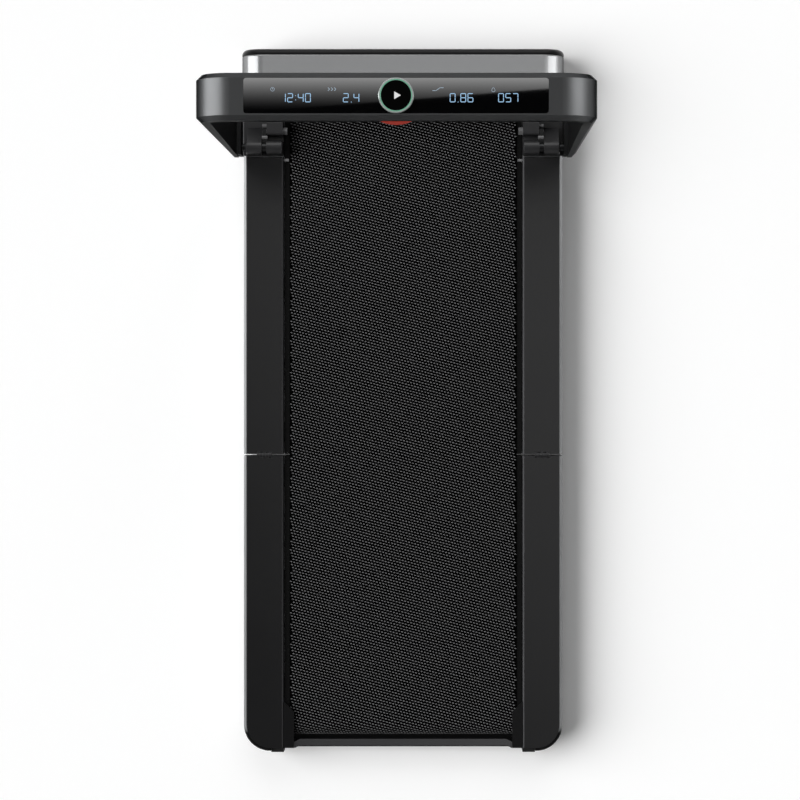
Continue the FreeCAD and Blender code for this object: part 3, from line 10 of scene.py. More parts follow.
import bmesh
import bpy
import numpy as np
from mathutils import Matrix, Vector


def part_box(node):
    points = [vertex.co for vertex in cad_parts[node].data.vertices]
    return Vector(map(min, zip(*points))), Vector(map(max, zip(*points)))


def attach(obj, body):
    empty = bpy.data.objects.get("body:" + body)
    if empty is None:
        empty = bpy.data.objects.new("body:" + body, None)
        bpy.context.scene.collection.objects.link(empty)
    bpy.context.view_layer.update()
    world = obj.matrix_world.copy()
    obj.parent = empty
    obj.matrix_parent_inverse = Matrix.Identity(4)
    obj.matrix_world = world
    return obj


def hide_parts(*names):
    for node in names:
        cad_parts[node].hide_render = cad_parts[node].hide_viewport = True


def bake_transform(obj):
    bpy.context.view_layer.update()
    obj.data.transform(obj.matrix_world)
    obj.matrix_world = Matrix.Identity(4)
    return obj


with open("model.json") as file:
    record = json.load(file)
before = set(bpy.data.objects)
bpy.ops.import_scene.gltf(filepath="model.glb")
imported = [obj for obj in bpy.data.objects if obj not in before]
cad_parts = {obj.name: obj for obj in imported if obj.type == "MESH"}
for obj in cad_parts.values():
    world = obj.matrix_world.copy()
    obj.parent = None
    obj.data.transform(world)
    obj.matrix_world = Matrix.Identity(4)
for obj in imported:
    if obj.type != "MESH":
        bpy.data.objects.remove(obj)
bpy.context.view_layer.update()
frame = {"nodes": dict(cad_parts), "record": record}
nodes = frame["nodes"]

# %% [markdown]
# The picture was taken from straight above with a long lens. A camera without any turn looks down
# and keeps +Y at the top of the frame. The machine isn't centred under the lens, so a small shift
# moves the frame, as a view camera does.

# %% Camera
scene = bpy.context.scene
scene.view_settings.view_transform = "Standard"
CAMERA_PLACE = (0.0812, 0.0687, 5.3752)
CAMERA_LENS = 115.41
CAMERA_SHIFT = (-0.053, -0.0395)
camera_data = bpy.data.cameras.new("overhead_camera")
camera_data.lens = CAMERA_LENS
camera_data.shift_x, camera_data.shift_y = CAMERA_SHIFT
camera_data.clip_end = 100
camera = bpy.data.objects.new("overhead_camera", camera_data)
camera.location = CAMERA_PLACE
scene.collection.objects.link(camera)
scene.camera = camera
print("camera height:", CAMERA_PLACE[2])

# %% [markdown]
# The studio is dim, with a weak light box in front and a pale ceiling patch that flat tops mirror.
# Both are painted into the world by direction: each is a product of soft steps. A slanted bright
# field near the zenith only shows as the reflection in the display glass. Pale walls and a white
# backdrop are there for mirrors and the camera alone, so they add no light to matt surfaces.

# %% World
world = bpy.data.worlds.new("studio")
scene.world = world
world.use_nodes = True
studio = world.node_tree
for node in list(studio.nodes):
    studio.nodes.remove(node)


def sum_up(operation, first, second=0.0):
    """Math node of the world; either value may be a socket."""
    node = studio.nodes.new("ShaderNodeMath")
    node.operation = operation
    for socket, value in zip(node.inputs, (first, second)):
        if isinstance(value, (int, float)):
            socket.default_value = value
        else:
            studio.links.new(value, socket)
    return node.outputs[0]


def soft_step(value, start, stop, low=0.0, high=1.0):
    """Value that goes smoothly from low at start to high at stop."""
    node = studio.nodes.new("ShaderNodeMapRange")
    node.interpolation_type = "SMOOTHSTEP"
    for label, number in zip(("From Min", "From Max", "To Min", "To Max"), (start, stop, low, high)):
        node.inputs[label].default_value = number
    studio.links.new(value, node.inputs["Value"])
    return node.outputs["Result"]


direction = studio.nodes.new("ShaderNodeTexCoord")
split = studio.nodes.new("ShaderNodeSeparateXYZ")
studio.links.new(direction.outputs["Generated"], split.inputs[0])
to_x, to_y, to_z = split.outputs

# %% Front box and ceiling
AMBIENT = 0.07
FRONT_BOX = 1.6
CEILING, CEILING_TILT = 0.96, 1.1
front_box = sum_up("MULTIPLY", soft_step(to_y, 0.45, 0.65, 0, FRONT_BOX), soft_step(to_z, 0.20, 0.35))
front_box = sum_up("MULTIPLY", front_box, soft_step(sum_up("ABSOLUTE", to_x), 0.25, 0.50, 1, 0))
across = sum_up("ADD", to_y, sum_up("MULTIPLY", to_x, CEILING_TILT))
ceiling = sum_up("MULTIPLY", soft_step(to_z, 0.955, 0.985), soft_step(across, -0.22, 0.06, 0, CEILING))
light = sum_up("ADD", front_box, sum_up("ADD", ceiling, AMBIENT))

# %% Field that the display glass mirrors
FIELD_LOW, FIELD_TOP = 0.1000, 0.1128
FIELD_EDGE, FIELD_SLANT = 0.1059, 0.0771
FIELD_LIGHT, FIELD_FADE = 3.64, 2.17
ZONE_LOW, ZONE_TOP = 0.098, 0.1142
ZONE_MIDDLE, ZONE_HALF = -0.018, 0.062
ZONE_UPRIGHT = 0.9
slope_x = sum_up("DIVIDE", to_x, to_z)
slope_y = sum_up("DIVIDE", to_y, to_z)
edge = sum_up("SUBTRACT", slope_y, sum_up("MULTIPLY", slope_x, FIELD_SLANT))
rise = sum_up("DIVIDE", sum_up("SUBTRACT", slope_y, FIELD_LOW), FIELD_TOP - FIELD_LOW)
fade = sum_up("POWER", sum_up("MAXIMUM", rise, 0.0), FIELD_FADE)
field = sum_up("MULTIPLY", sum_up("MULTIPLY", fade, FIELD_LIGHT), sum_up("GREATER_THAN", edge, FIELD_EDGE))
inside = sum_up("GREATER_THAN", slope_y, ZONE_LOW)
inside = sum_up("MULTIPLY", inside, sum_up("LESS_THAN", slope_y, ZONE_TOP))
beside = sum_up("ABSOLUTE", sum_up("SUBTRACT", slope_x, ZONE_MIDDLE))
inside = sum_up("MULTIPLY", inside, sum_up("LESS_THAN", beside, ZONE_HALF))
inside = sum_up("MULTIPLY", inside, sum_up("GREATER_THAN", to_z, ZONE_UPRIGHT))
outside = sum_up("SUBTRACT", 1.0, inside)
light = sum_up("ADD", sum_up("MULTIPLY", light, outside), sum_up("MULTIPLY", field, inside))

# %% Walls and backdrop
WALL = 0.35
STUDIO_LEVEL = 0.8
rear = sum_up("MULTIPLY", soft_step(to_y, -0.5, -0.8), soft_step(to_z, 0.40, 0.22))
wall = sum_up("MULTIPLY", soft_step(to_z, 0.75, 0.55, 0, WALL), sum_up("SUBTRACT", 1.0, rear))
rays = studio.nodes.new("ShaderNodeLightPath")
mirrored = sum_up("MAXIMUM", rays.outputs["Is Glossy Ray"], rays.outputs["Is Transmission Ray"])
light = sum_up("ADD", light, sum_up("MULTIPLY", wall, mirrored))
light = sum_up("MULTIPLY", light, STUDIO_LEVEL)
light = sum_up("MAXIMUM", light, rays.outputs["Is Camera Ray"])
glow = studio.nodes.new("ShaderNodeBackground")
glow.inputs["Color"].default_value = (1, 1, 1, 1)
studio_out = studio.nodes.new("ShaderNodeOutputWorld")
studio.links.new(light, glow.inputs["Strength"])
studio.links.new(glow.outputs[0], studio_out.inputs["Surface"])
print("world nodes:", len(studio.nodes))

# %% [markdown]
# A distant soft lamp on the left lights matt surfaces and throws the floor's shadow to the right.
# Mirrors don't see it, so the highlights keep the shape of the strips below. The handrail stands so
# high that its shadow is too soft to see in the studio, so the lamp passes it by.

# %% Key lamp
LAMP_ENERGY, LAMP_ANGLE = 3.85, math.radians(56)
LAMP_FROM = (-0.78, 0.04, 0.62)
lamp_data = bpy.data.lights.new("key_lamp", "SUN")
lamp_data.energy = LAMP_ENERGY
lamp_data.angle = LAMP_ANGLE
key_lamp = bpy.data.objects.new("key_lamp", lamp_data)
key_lamp.rotation_mode = "QUATERNION"
key_lamp.rotation_quaternion = Vector(LAMP_FROM).to_track_quat("Z", "Y")
key_lamp.visible_glossy = False
scene.collection.objects.link(key_lamp)
passed = bpy.data.collections.new("lamp_passes")
for name in frame["record"]["behaviour"]["bodies"]["handrail"]:
    passed.objects.link(nodes[name])
key_lamp.light_linking.blocker_collection = passed
for entry in passed.collection_objects:
    entry.light_linking.link_state = "EXCLUDE"

# %% [markdown]
# The key lamp leaves the rear face of the right post as dark as its inner face. A fill lamp from
# behind, linked to this post alone, parts the two.

# %% Rear fill
FILL_ENERGY = 15.0
FILL_FROM = (0.0, -0.94, 0.34)
fill_data = bpy.data.lights.new("rear_fill", "SUN")
fill_data.energy = FILL_ENERGY
rear_fill = bpy.data.objects.new("rear_fill", fill_data)
rear_fill.rotation_mode = "QUATERNION"
rear_fill.rotation_quaternion = Vector(FILL_FROM).to_track_quat("Z", "Y")
rear_fill.visible_glossy = False
scene.collection.objects.link(rear_fill)
filled = bpy.data.collections.new("fill_lights")
filled.objects.link(nodes["post_right"])
rear_fill.light_linking.receiver_collection = filled
print("rear fill:", FILL_ENERGY)

# %% [markdown]
# Tall strip lamps on both sides draw the highlights on the round shoulders of the console and of
# the hood. Each is as tall as the span of elevations that the shoulder mirrors, and two that overlap
# give a soft end. They are linked to these metal pieces alone, so the floor has one shadow only.

# %% Highlight strips
STRIP_AWAY, STRIP_LEAN = 2.4, 0.107
STRIP_SETS = {
    "console": ((0.30, 0.545, 0.85), 0.30, ("console_grey", "knob_metal"),
                [(-1, -5, 58, 7.0), (-1, 0, 77, 2.0), (1, 3, 72, 2.9), (1, 18, 56, 3.4)]),
    "hood": ((0.30, 0.65, 0.10), 0.30, ("silver_hood", "aluminium_strip"),
             [(-1, 0, 61, 3.9), (-1, 0, 82, 0.5), (1, 0, 78, 1.75), (1, 12, 60, 2.1)]),
    "rail": ((0.33, 0.35, 0.07), 0.88, ("aluminium_strip",), [(-1, -1, 40, 2.0)]),
}


def strip_lamp(name, target, half_width, side, low, high, radiance):
    """Rectangle lamp that a target sees between two elevations on one side."""
    middle, half = math.radians(low + high) / 2, math.radians(high - low) / 2
    toward = Vector((side * math.cos(middle), STRIP_LEAN, math.sin(middle)))
    data = bpy.data.lights.new(name, "AREA")
    data.shape = "RECTANGLE"
    data.size, data.size_y = 2 * half_width, 2 * STRIP_AWAY * math.tan(half)
    data.energy = radiance * math.pi * data.size * data.size_y
    lamp = bpy.data.objects.new(name, data)
    lamp.location = Vector((side * target[0], target[1], target[2])) + toward * STRIP_AWAY
    lamp.rotation_mode = "QUATERNION"
    lamp.rotation_quaternion = toward.to_track_quat("Z", "Y")
    lamp.visible_camera = False
    scene.collection.objects.link(lamp)
    return lamp


for label, (target, half_width, slots, strips) in STRIP_SETS.items():
    lit = bpy.data.collections.new(f"{label}_metal")
    for part in frame["record"]["subparts"]:
        if part["material_slot"] in slots or (label == "hood" and part["node"] == "rear_bar"):
            lit.objects.link(nodes[part["node"]])
    for number, strip in enumerate(strips):
        lamp = strip_lamp(f"{label}_strip_{number}", target, half_width, *strip)
        lamp.light_linking.receiver_collection = lit

# %% [markdown]
# The floor is plain white. It takes the shadow like any matt surface, and a little light of its
# own, which only the camera and mirrors see, lifts it to the white of the studio sweep.

# %% Floor
FLOOR_HALF = 30.0
FLOOR_TONE, FLOOR_LIFT = 0.97, 0.06
floor_mesh = bpy.data.meshes.new("floor")
floor_mesh.from_pydata(
    [(-FLOOR_HALF, -FLOOR_HALF, 0), (FLOOR_HALF, -FLOOR_HALF, 0),
     (FLOOR_HALF, FLOOR_HALF, 0), (-FLOOR_HALF, FLOOR_HALF, 0)], [], [(0, 1, 2, 3)])
floor = bpy.data.objects.new("floor", floor_mesh)
scene.collection.objects.link(floor)
floor_finish = bpy.data.materials.new("white_floor")
floor_finish.use_nodes = True
tree = floor_finish.node_tree
paint = tree.nodes["Principled BSDF"]
paint.inputs["Base Color"].default_value = (FLOOR_TONE, FLOOR_TONE, FLOOR_TONE, 1)
paint.inputs["Roughness"].default_value = 0.9
paint.inputs["Specular IOR Level"].default_value = 0.0
paint.inputs["Emission Color"].default_value = (1, 1, 1, 1)
rays = tree.nodes.new("ShaderNodeLightPath")
seen = tree.nodes.new("ShaderNodeMath")
seen.operation = "MAXIMUM"
seen_by = tree.nodes.new("ShaderNodeMath")
seen_by.operation = "MAXIMUM"
lift = tree.nodes.new("ShaderNodeMath")
lift.operation = "MULTIPLY"
lift.inputs[1].default_value = FLOOR_LIFT
tree.links.new(rays.outputs["Is Camera Ray"], seen.inputs[0])
tree.links.new(rays.outputs["Is Glossy Ray"], seen.inputs[1])
tree.links.new(seen.outputs[0], seen_by.inputs[0])
tree.links.new(rays.outputs["Is Transmission Ray"], seen_by.inputs[1])
tree.links.new(seen_by.outputs[0], lift.inputs[0])
tree.links.new(lift.outputs[0], paint.inputs["Emission Strength"])
floor_mesh.materials.append(floor_finish)
print("floor side:", 2 * FLOOR_HALF)

# %% [markdown]
# Three effects come back in most finishes: the fine grain of a moulding or a coat, the lines of
# drawn or brushed metal, and lighter edges, which are partly rubbed wear and partly a painted
# highlight. Each is a node group that only puts out masks and heights, so every finish can use it
# with its own values.

# %% Shared effects
def new_group(name, inputs):
    """Shader group with named number inputs, and Height and Mask as its outputs."""
    group = bpy.data.node_groups.new(name, "ShaderNodeTree")
    for label, start in inputs.items():
        socket = group.interface.new_socket(label, in_out="INPUT", socket_type="NodeSocketFloat")
        socket.default_value = start
    for label in ("Height", "Mask"):
        group.interface.new_socket(label, in_out="OUTPUT", socket_type="NodeSocketFloat")
    return group, group.nodes.new("NodeGroupInput"), group.nodes.new("NodeGroupOutput")


def moulded_grain():
    """Fine noise for the height of a grain, and broad noise for its cloudy tone."""
    group, given, out = new_group("moulded_grain", {"Grain Scale": 900.0, "Cloud Scale": 9.0})
    place = group.nodes.new("ShaderNodeTexCoord")
    fine = group.nodes.new("ShaderNodeTexNoise")
    fine.inputs["Detail"].default_value = 3
    broad = group.nodes.new("ShaderNodeTexNoise")
    broad.inputs["Detail"].default_value = 4
    broad.inputs["Roughness"].default_value = 0.6
    for noise, label in ((fine, "Grain Scale"), (broad, "Cloud Scale")):
        group.links.new(place.outputs["Object"], noise.inputs["Vector"])
        group.links.new(given.outputs[label], noise.inputs["Scale"])
    group.links.new(fine.outputs["Fac"], out.inputs["Height"])
    group.links.new(broad.outputs["Fac"], out.inputs["Mask"])
    return group


def drawn_lines():
    """Noise stretched along Y, which reads as the lines of drawn metal."""
    group, given, out = new_group("drawn_lines", {"Across": 1600.0, "Along": 6.0})
    place = group.nodes.new("ShaderNodeTexCoord")
    stretch = group.nodes.new("ShaderNodeCombineXYZ")
    scaled = group.nodes.new("ShaderNodeVectorMath")
    scaled.operation = "MULTIPLY"
    noise = group.nodes.new("ShaderNodeTexNoise")
    noise.inputs["Scale"].default_value = 1.0
    noise.inputs["Detail"].default_value = 3
    for axis, label in (("X", "Across"), ("Y", "Along"), ("Z", "Across")):
        group.links.new(given.outputs[label], stretch.inputs[axis])
    group.links.new(place.outputs["Object"], scaled.inputs[0])
    group.links.new(stretch.outputs[0], scaled.inputs[1])
    group.links.new(scaled.outputs[0], noise.inputs["Vector"])
    for label in ("Height", "Mask"):
        group.links.new(noise.outputs["Fac"], out.inputs[label])
    return group


# Lighter corners: partly rubbed wear, partly a painted highlight along the edges.
def rubbed_and_highlit_edges():
    """Mask of corners: how far the rounded normal leaves the flat one."""
    group, given, out = new_group("rubbed_and_highlit_edges", {"Width": 0.0012, "Sharpness": 5.0})
    rounded = group.nodes.new("ShaderNodeBevel")
    rounded.samples = 4
    flat = group.nodes.new("ShaderNodeNewGeometry")
    agree = group.nodes.new("ShaderNodeVectorMath")
    agree.operation = "DOT_PRODUCT"
    leave = group.nodes.new("ShaderNodeMath")
    leave.operation = "SUBTRACT"
    leave.inputs[0].default_value = 1.0
    boost = group.nodes.new("ShaderNodeMath")
    boost.operation = "MULTIPLY"
    boost.use_clamp = True
    group.links.new(given.outputs["Width"], rounded.inputs["Radius"])
    group.links.new(rounded.outputs["Normal"], agree.inputs[0])
    group.links.new(flat.outputs["Normal"], agree.inputs[1])
    group.links.new(agree.outputs["Value"], leave.inputs[1])
    group.links.new(leave.outputs[0], boost.inputs[0])
    group.links.new(given.outputs["Sharpness"], boost.inputs[1])
    for label in ("Height", "Mask"):
        group.links.new(boost.outputs[0], out.inputs[label])
    return group


GRAIN = moulded_grain()
LINES = drawn_lines()
EDGE_WEAR_AND_HIGHLIGHT = rubbed_and_highlit_edges()
print("effects:", [g.name for g in bpy.data.node_groups])

# %% [markdown]
# A finish starts from a plain colour. Clouds of a second tone keep it from looking flat. Its edges
# are made lighter, partly as rubbed wear and partly as a painted highlight. The grain or the drawn
# lines give roughness and bump. Values that are the same all over stay on the shader's own sockets.

# %% Finishes
def place_group(tree, group, **values):
    """Put a shared effect into a material, with its own values."""
    node = tree.nodes.new("ShaderNodeGroup")
    node.node_tree = group
    for label, number in values.items():
        node.inputs[label.replace("_", " ")].default_value = number
    return node


def mix_colour(tree, factor, first, second):
    """Mix of two colours, either of which may be a socket."""
    node = tree.nodes.new("ShaderNodeMix")
    node.data_type = "RGBA"
    tree.links.new(factor, node.inputs["Factor"])
    for socket, colour in ((node.inputs["A"], first), (node.inputs["B"], second)):
        if isinstance(colour, tuple):
            socket.default_value = (*colour, 1)
        else:
            tree.links.new(colour, socket)
    return node.outputs["Result"]


def spread_of(tree, value, low, high, start=0.0, stop=1.0):
    """Value between start and stop mapped to a range."""
    node = tree.nodes.new("ShaderNodeMapRange")
    node.inputs["From Min"].default_value = start
    node.inputs["From Max"].default_value = stop
    node.inputs["To Min"].default_value = low
    node.inputs["To Max"].default_value = high
    tree.links.new(value, node.inputs["Value"])
    return node.outputs["Result"]


def make_finish(name, colour, rough, metal=0.0, cloud=0.85, edge=1.6, grain=900.0, bump=0.06,
                lines=False, specular=0.5, rim=1.0):
    """Surface with a cloudy tone, lighter edges and a fine relief.

    colour is the plain colour, cloud and edge are how much darker the clouds and lighter the edges
    are, and rim is how bright a metal gets at grazing angles. The lighter edges are partly rubbed wear
    and partly a painted highlight."""
    finish = bpy.data.materials.new(name)
    finish.use_nodes = True
    tree = finish.node_tree
    shader = tree.nodes["Principled BSDF"]
    shader.inputs["Metallic"].default_value = metal
    shader.inputs["Specular IOR Level"].default_value = specular
    shader.inputs["Specular Tint"].default_value = (rim, rim, rim, 1)
    relief = place_group(tree, GRAIN, Grain_Scale=grain)
    edges = place_group(tree, EDGE_WEAR_AND_HIGHLIGHT)
    darker = tuple(c * cloud for c in colour)
    lighter = tuple(min(1.0, c * edge + 0.004) for c in colour)
    clouds = spread_of(tree, relief.outputs["Mask"], -0.6, 1.6)
    tone = mix_colour(tree, clouds, darker, colour)
    tone = mix_colour(tree, edges.outputs["Mask"], tone, lighter)
    tree.links.new(tone, shader.inputs["Base Color"])
    source = place_group(tree, LINES) if lines else relief
    gloss = spread_of(tree, source.outputs["Mask"], rough * 0.85, min(1.0, rough * 1.2))
    tree.links.new(gloss, shader.inputs["Roughness"])
    height = tree.nodes.new("ShaderNodeBump")
    height.inputs["Strength"].default_value = bump
    height.inputs["Distance"].default_value = 0.0004
    tree.links.new(source.outputs["Height"], height.inputs["Height"])
    tree.links.new(height.outputs["Normal"], shader.inputs["Normal"])
    return finish


FINISHES = {
    "aluminium_strip": make_finish("aluminium_strip", (0.30, 0.305, 0.31), 0.34, metal=0.85, edge=1.1,
                                   lines=True, rim=0.4),
    "black_step": make_finish("black_step", (0.0066, 0.0066, 0.0070), 0.19, grain=1500.0, bump=0.04),
    "board_wood": make_finish("board_wood", (0.004, 0.004, 0.004), 0.55, lines=True, specular=0.2),
    "soft_rubber": make_finish("soft_rubber", (0.016, 0.016, 0.016), 0.75, grain=600.0, bump=0.2),
    "frame_steel": make_finish("frame_steel", (0.03, 0.03, 0.031), 0.5, bump=0.15),
    "black_moulding": make_finish("black_moulding", (0.0045, 0.0045, 0.0048), 0.3, grain=1300.0,
                                  specular=0.25),
    "base_casting": make_finish("base_casting", (0.2, 0.2, 0.21), 0.5, metal=1.0, grain=500.0, bump=0.25),
    "silver_hood": make_finish("silver_hood", (0.295, 0.299, 0.303), 0.19, metal=0.75, cloud=0.97,
                               edge=1.05, bump=0.0, rim=0.15),
    "motor_can": make_finish("motor_can", (0.035, 0.035, 0.04), 0.4),
    "bright_steel": make_finish("bright_steel", (0.55, 0.55, 0.56), 0.28, metal=1.0, lines=True),
    "pin_steel": make_finish("pin_steel", (0.17, 0.17, 0.173), 0.4, metal=0.5, lines=True),
    "circuit": make_finish("circuit", (0.02, 0.12, 0.06), 0.4),
    "heat_sink": make_finish("heat_sink", (0.5, 0.5, 0.5), 0.45, metal=1.0, lines=True),
    "hinge_casting": make_finish("hinge_casting", (0.019, 0.019, 0.02), 0.34, edge=2.0, bump=0.08,
                                 specular=0.6),
    "post_grey": make_finish("post_grey", (0.05, 0.051, 0.052), 0.3, metal=0.92, cloud=0.93, edge=1.3,
                             bump=0.03, specular=0.0, rim=0.05),
    "seal_grey": make_finish("seal_grey", (0.13, 0.13, 0.132), 0.6, bump=0.2, specular=0.2),
    "console_grey": make_finish("console_grey", (0.086, 0.088, 0.09), 0.36, metal=1.0, cloud=0.95, edge=1.2,
                                bump=0.02, rim=0.15),
    "display_black": make_finish("display_black", (0.0012, 0.0012, 0.0014), 0.012, cloud=0.9, edge=1.0,
                                 bump=0.0, specular=1.0),
    "knob_metal": make_finish("knob_metal", (0.42, 0.47, 0.45), 0.3, metal=0.8, lines=True),
    "knob_black": make_finish("knob_black", (0.0015, 0.0015, 0.0015), 0.5, bump=0.0, specular=0.02),
    "key_red": make_finish("key_red", (0.34, 0.03, 0.018), 0.35),
    "switch_black": make_finish("switch_black", (0.01, 0.01, 0.01), 0.3),
    "wheel_black": make_finish("wheel_black", (0.02, 0.02, 0.02), 0.6, bump=0.15),
    "dark_chrome": make_finish("dark_chrome", (0.14, 0.14, 0.145), 0.22, metal=0.9, lines=True, bump=0.02),
}

# %% [markdown]
# The rear rails are bright along the deck and turn black where they bend round its corners. One
# finish does both: a mask from the place along Y mixes the colour and the metal.

# %% Black corners
CORNER_START, CORNER_END = -0.670, -0.684
RAIL_METAL = 0.85


def black_corner(finish):
    """Bright metal before the corner and black after it: the mask grows from 0 to 1 between two places."""
    tree = finish.node_tree
    shader = tree.nodes["Principled BSDF"]
    place = tree.nodes.new("ShaderNodeTexCoord")
    axes = tree.nodes.new("ShaderNodeSeparateXYZ")
    tree.links.new(place.outputs["Object"], axes.inputs[0])
    mask = spread_of(tree, axes.outputs["Y"], 0.0, 1.0, CORNER_START, CORNER_END)
    bright = shader.inputs["Base Color"].links[0].from_socket
    tree.links.new(mix_colour(tree, mask, bright, (0.004, 0.004, 0.0042)), shader.inputs["Base Color"])
    tree.links.new(spread_of(tree, mask, RAIL_METAL, 0.0), shader.inputs["Metallic"])
    return finish


FINISHES["rail_end"] = black_corner(
    make_finish("rail_end", (0.30, 0.305, 0.31), 0.34, lines=True, edge=1.1, specular=0.03, rim=0.4))
print("black from:", CORNER_START)

# %% Dress the CAD nodes
OWN_FINISH = {"rear_bar": "dark_chrome", "stop_blocks": "hinge_casting", "stop_bolts": "pin_steel",
              "side_rail_rear_left": "rail_end", "side_rail_rear_right": "rail_end"}
for part in frame["record"]["subparts"]:
    slot = OWN_FINISH.get(part["node"], part["material_slot"])
    if slot in FINISHES:
        mesh = nodes[part["node"]].data
        mesh.materials.clear()
        mesh.materials.append(FINISHES[slot])
print("finishes:", len(FINISHES), "nodes:", len(nodes))

# %% [markdown]
# Every new piece is a surface over a grid of two parameters. The grid's quads join each point to
# its neighbours, and a loop in either direction closes the surface there.

# %% Surfaces from arrays
def grid_faces(rows, columns, loop_rows=False, loop_columns=False):
    """Corner numbers of the quads of a grid: point, next in the row, next in both, next in the column."""
    row = np.arange(rows if loop_rows else rows - 1)[:, None]
    column = np.arange(columns if loop_columns else columns - 1)[None, :]
    after_row, after_column = (row + 1) % rows, (column + 1) % columns
    corners = [row * columns + column, row * columns + after_column,
               after_row * columns + after_column, after_row * columns + column]
    return np.stack(np.broadcast_arrays(*corners), -1).reshape(-1, 4)


def make_piece(name, points, faces, finish, body=None, slot=None, smooth_angle=35, raised=None):
    """Mesh object at the origin from arrays of points and faces, riding on a body.

    Points at one place are merged, which closes poles and pinched ends. raised is a mask per point."""
    mesh = bpy.data.meshes.new(name)
    mesh.from_pydata(points.tolist(), [], faces.tolist())
    mesh.update()
    if raised is not None:
        mask = mesh.attributes.new("raised", "FLOAT", "POINT")
        mask.data.foreach_set("value", raised.astype(np.float32))
    joined = bmesh.new()
    joined.from_mesh(mesh)
    bmesh.ops.remove_doubles(joined, verts=joined.verts, dist=1e-6)
    bmesh.ops.dissolve_degenerate(joined, edges=joined.edges, dist=1e-7)
    joined.to_mesh(mesh)
    joined.free()
    mesh.polygons.foreach_set("use_smooth", np.ones(len(mesh.polygons), bool))
    mesh.set_sharp_from_angle(angle=math.radians(smooth_angle))
    mesh.materials.append(finish)
    piece = bpy.data.objects.new(name, mesh)
    scene.collection.objects.link(piece)
    if body:
        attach(piece, body)
    return piece


def merged(parts):
    """Points and faces of several surfaces as one mesh; each part is (points, faces)."""
    counts = np.cumsum([0] + [len(points) for points, _ in parts])
    points = np.concatenate([points for points, _ in parts])
    faces = np.concatenate([faces + start for (_, faces), start in zip(parts, counts)])
    return points, faces


def turned(profile, centre, around="Z", steps=32, ring=False):
    """Surface of revolution: each (radius, height) of the profile goes round Z or X through a centre.

    The profile runs upwards on its outer side. A ring's profile joins its own start."""
    angle = np.linspace(0, 2 * np.pi, steps, endpoint=False)
    radius, height = (np.array(column)[:, None] for column in zip(*profile))
    ring_a, ring_b = radius * np.cos(angle), radius * np.sin(angle)
    along = np.broadcast_to(height, ring_a.shape)
    order = (ring_a, ring_b, along) if around == "Z" else (along, ring_a, ring_b)
    points = np.stack(order, -1).reshape(-1, 3) + np.array(centre)
    return points, grid_faces(len(profile), steps, loop_rows=ring, loop_columns=True)


def copies(surface, places):
    """The same surface at several places, as one mesh."""
    points, faces = surface
    return merged([(points + np.array(place), faces) for place in places])


def loft(sections):
    """Closed bar through sections of equal point counts: rows join in order, each end is a fan."""
    sections = np.array(sections)
    ends = sections[[0, -1]].mean(1, keepdims=True) * np.ones((1, sections.shape[1], 1))
    rows = np.concatenate([ends[:1], sections, ends[1:]])
    return rows.reshape(-1, 3), grid_faces(len(rows), rows.shape[1], loop_columns=True)


# %% [markdown]
# The walking belt is one endless loop of black belting round two rollers, with slanted rows of
# small raised lozenges that give the shoes grip. A bump map alone would look painted on in a
# close view, so each lozenge is a low frustum of its own on the belt's path, in a left and a right
# half of the grip. The upper run with both bends is one piece and the return run another, each
# with close rows where the deck folds.

# %% Walking belt
BELT_HALF = 0.235
BELT_THICK = 0.002
GRIP_RISE = 0.00045
FRONT_ROLLER = 0.612
REAR_ROLLER = -0.667
ROLLER_HEIGHT = 0.047
BELT_RADIUS = 0.023 - GRIP_RISE
RUN_LENGTH = FRONT_ROLLER - REAR_ROLLER
BEND_LENGTH = math.pi * BELT_RADIUS
FOLD_Y = -0.110


def belt_path(s):
    """Point and outward direction at arc length s, from below the front roller to below the rear one.

    The angle grows on the two bends and stays upright on the run between them."""
    first = np.clip(s, 0, BEND_LENGTH)
    second = np.clip(s - BEND_LENGTH - RUN_LENGTH, 0, BEND_LENGTH)
    angle = -np.pi / 2 + (first + second) / BELT_RADIUS
    middle = FRONT_ROLLER - np.clip(s - BEND_LENGTH, 0, RUN_LENGTH)
    out_y, out_z = np.cos(angle), np.sin(angle)
    return middle + BELT_RADIUS * out_y, ROLLER_HEIGHT + BELT_RADIUS * out_z, out_y, out_z


def belt_section(steps=4):
    """Outline of the belt across its width: (x, depth below the outer face), with round edges."""
    bend = np.linspace(-np.pi / 2, np.pi / 2, steps)
    half = BELT_THICK / 2
    right_x = BELT_HALF - half + half * np.cos(bend)
    right_d = half + half * np.sin(bend)
    top = np.linspace(-BELT_HALF + BELT_THICK, BELT_HALF - BELT_THICK, 9)
    x = np.concatenate([top, right_x, top[::-1], -right_x])
    depth = np.concatenate([np.zeros(9), right_d, np.full(9, BELT_THICK), right_d[::-1]])
    return x, depth


def swept_belt(y, z, out_y, out_z):
    """Belt body: the section carried along a path, with its first and last rows pinched shut."""
    x, depth = belt_section()
    rows = len(y)
    depth = np.repeat(depth[None, :], rows, 0)
    depth[0] = depth[-1] = BELT_THICK / 2
    points = np.stack([np.broadcast_to(x, depth.shape), y[:, None] - depth * out_y[:, None],
                       z[:, None] - depth * out_z[:, None]], -1)
    return points.reshape(-1, 3), grid_faces(rows, len(x), loop_columns=True)[:, ::-1]


LATTICE_STEP = 0.006396
LATTICE_SLANT = 0.001751
GRIP_MARGIN, GRIP_SUNK = 0.0028, 0.0001
GRIP_LONG, GRIP_SHOULDER, GRIP_WIDE, GRIP_TOP = 0.0027, 0.0014, 0.00115, 0.8


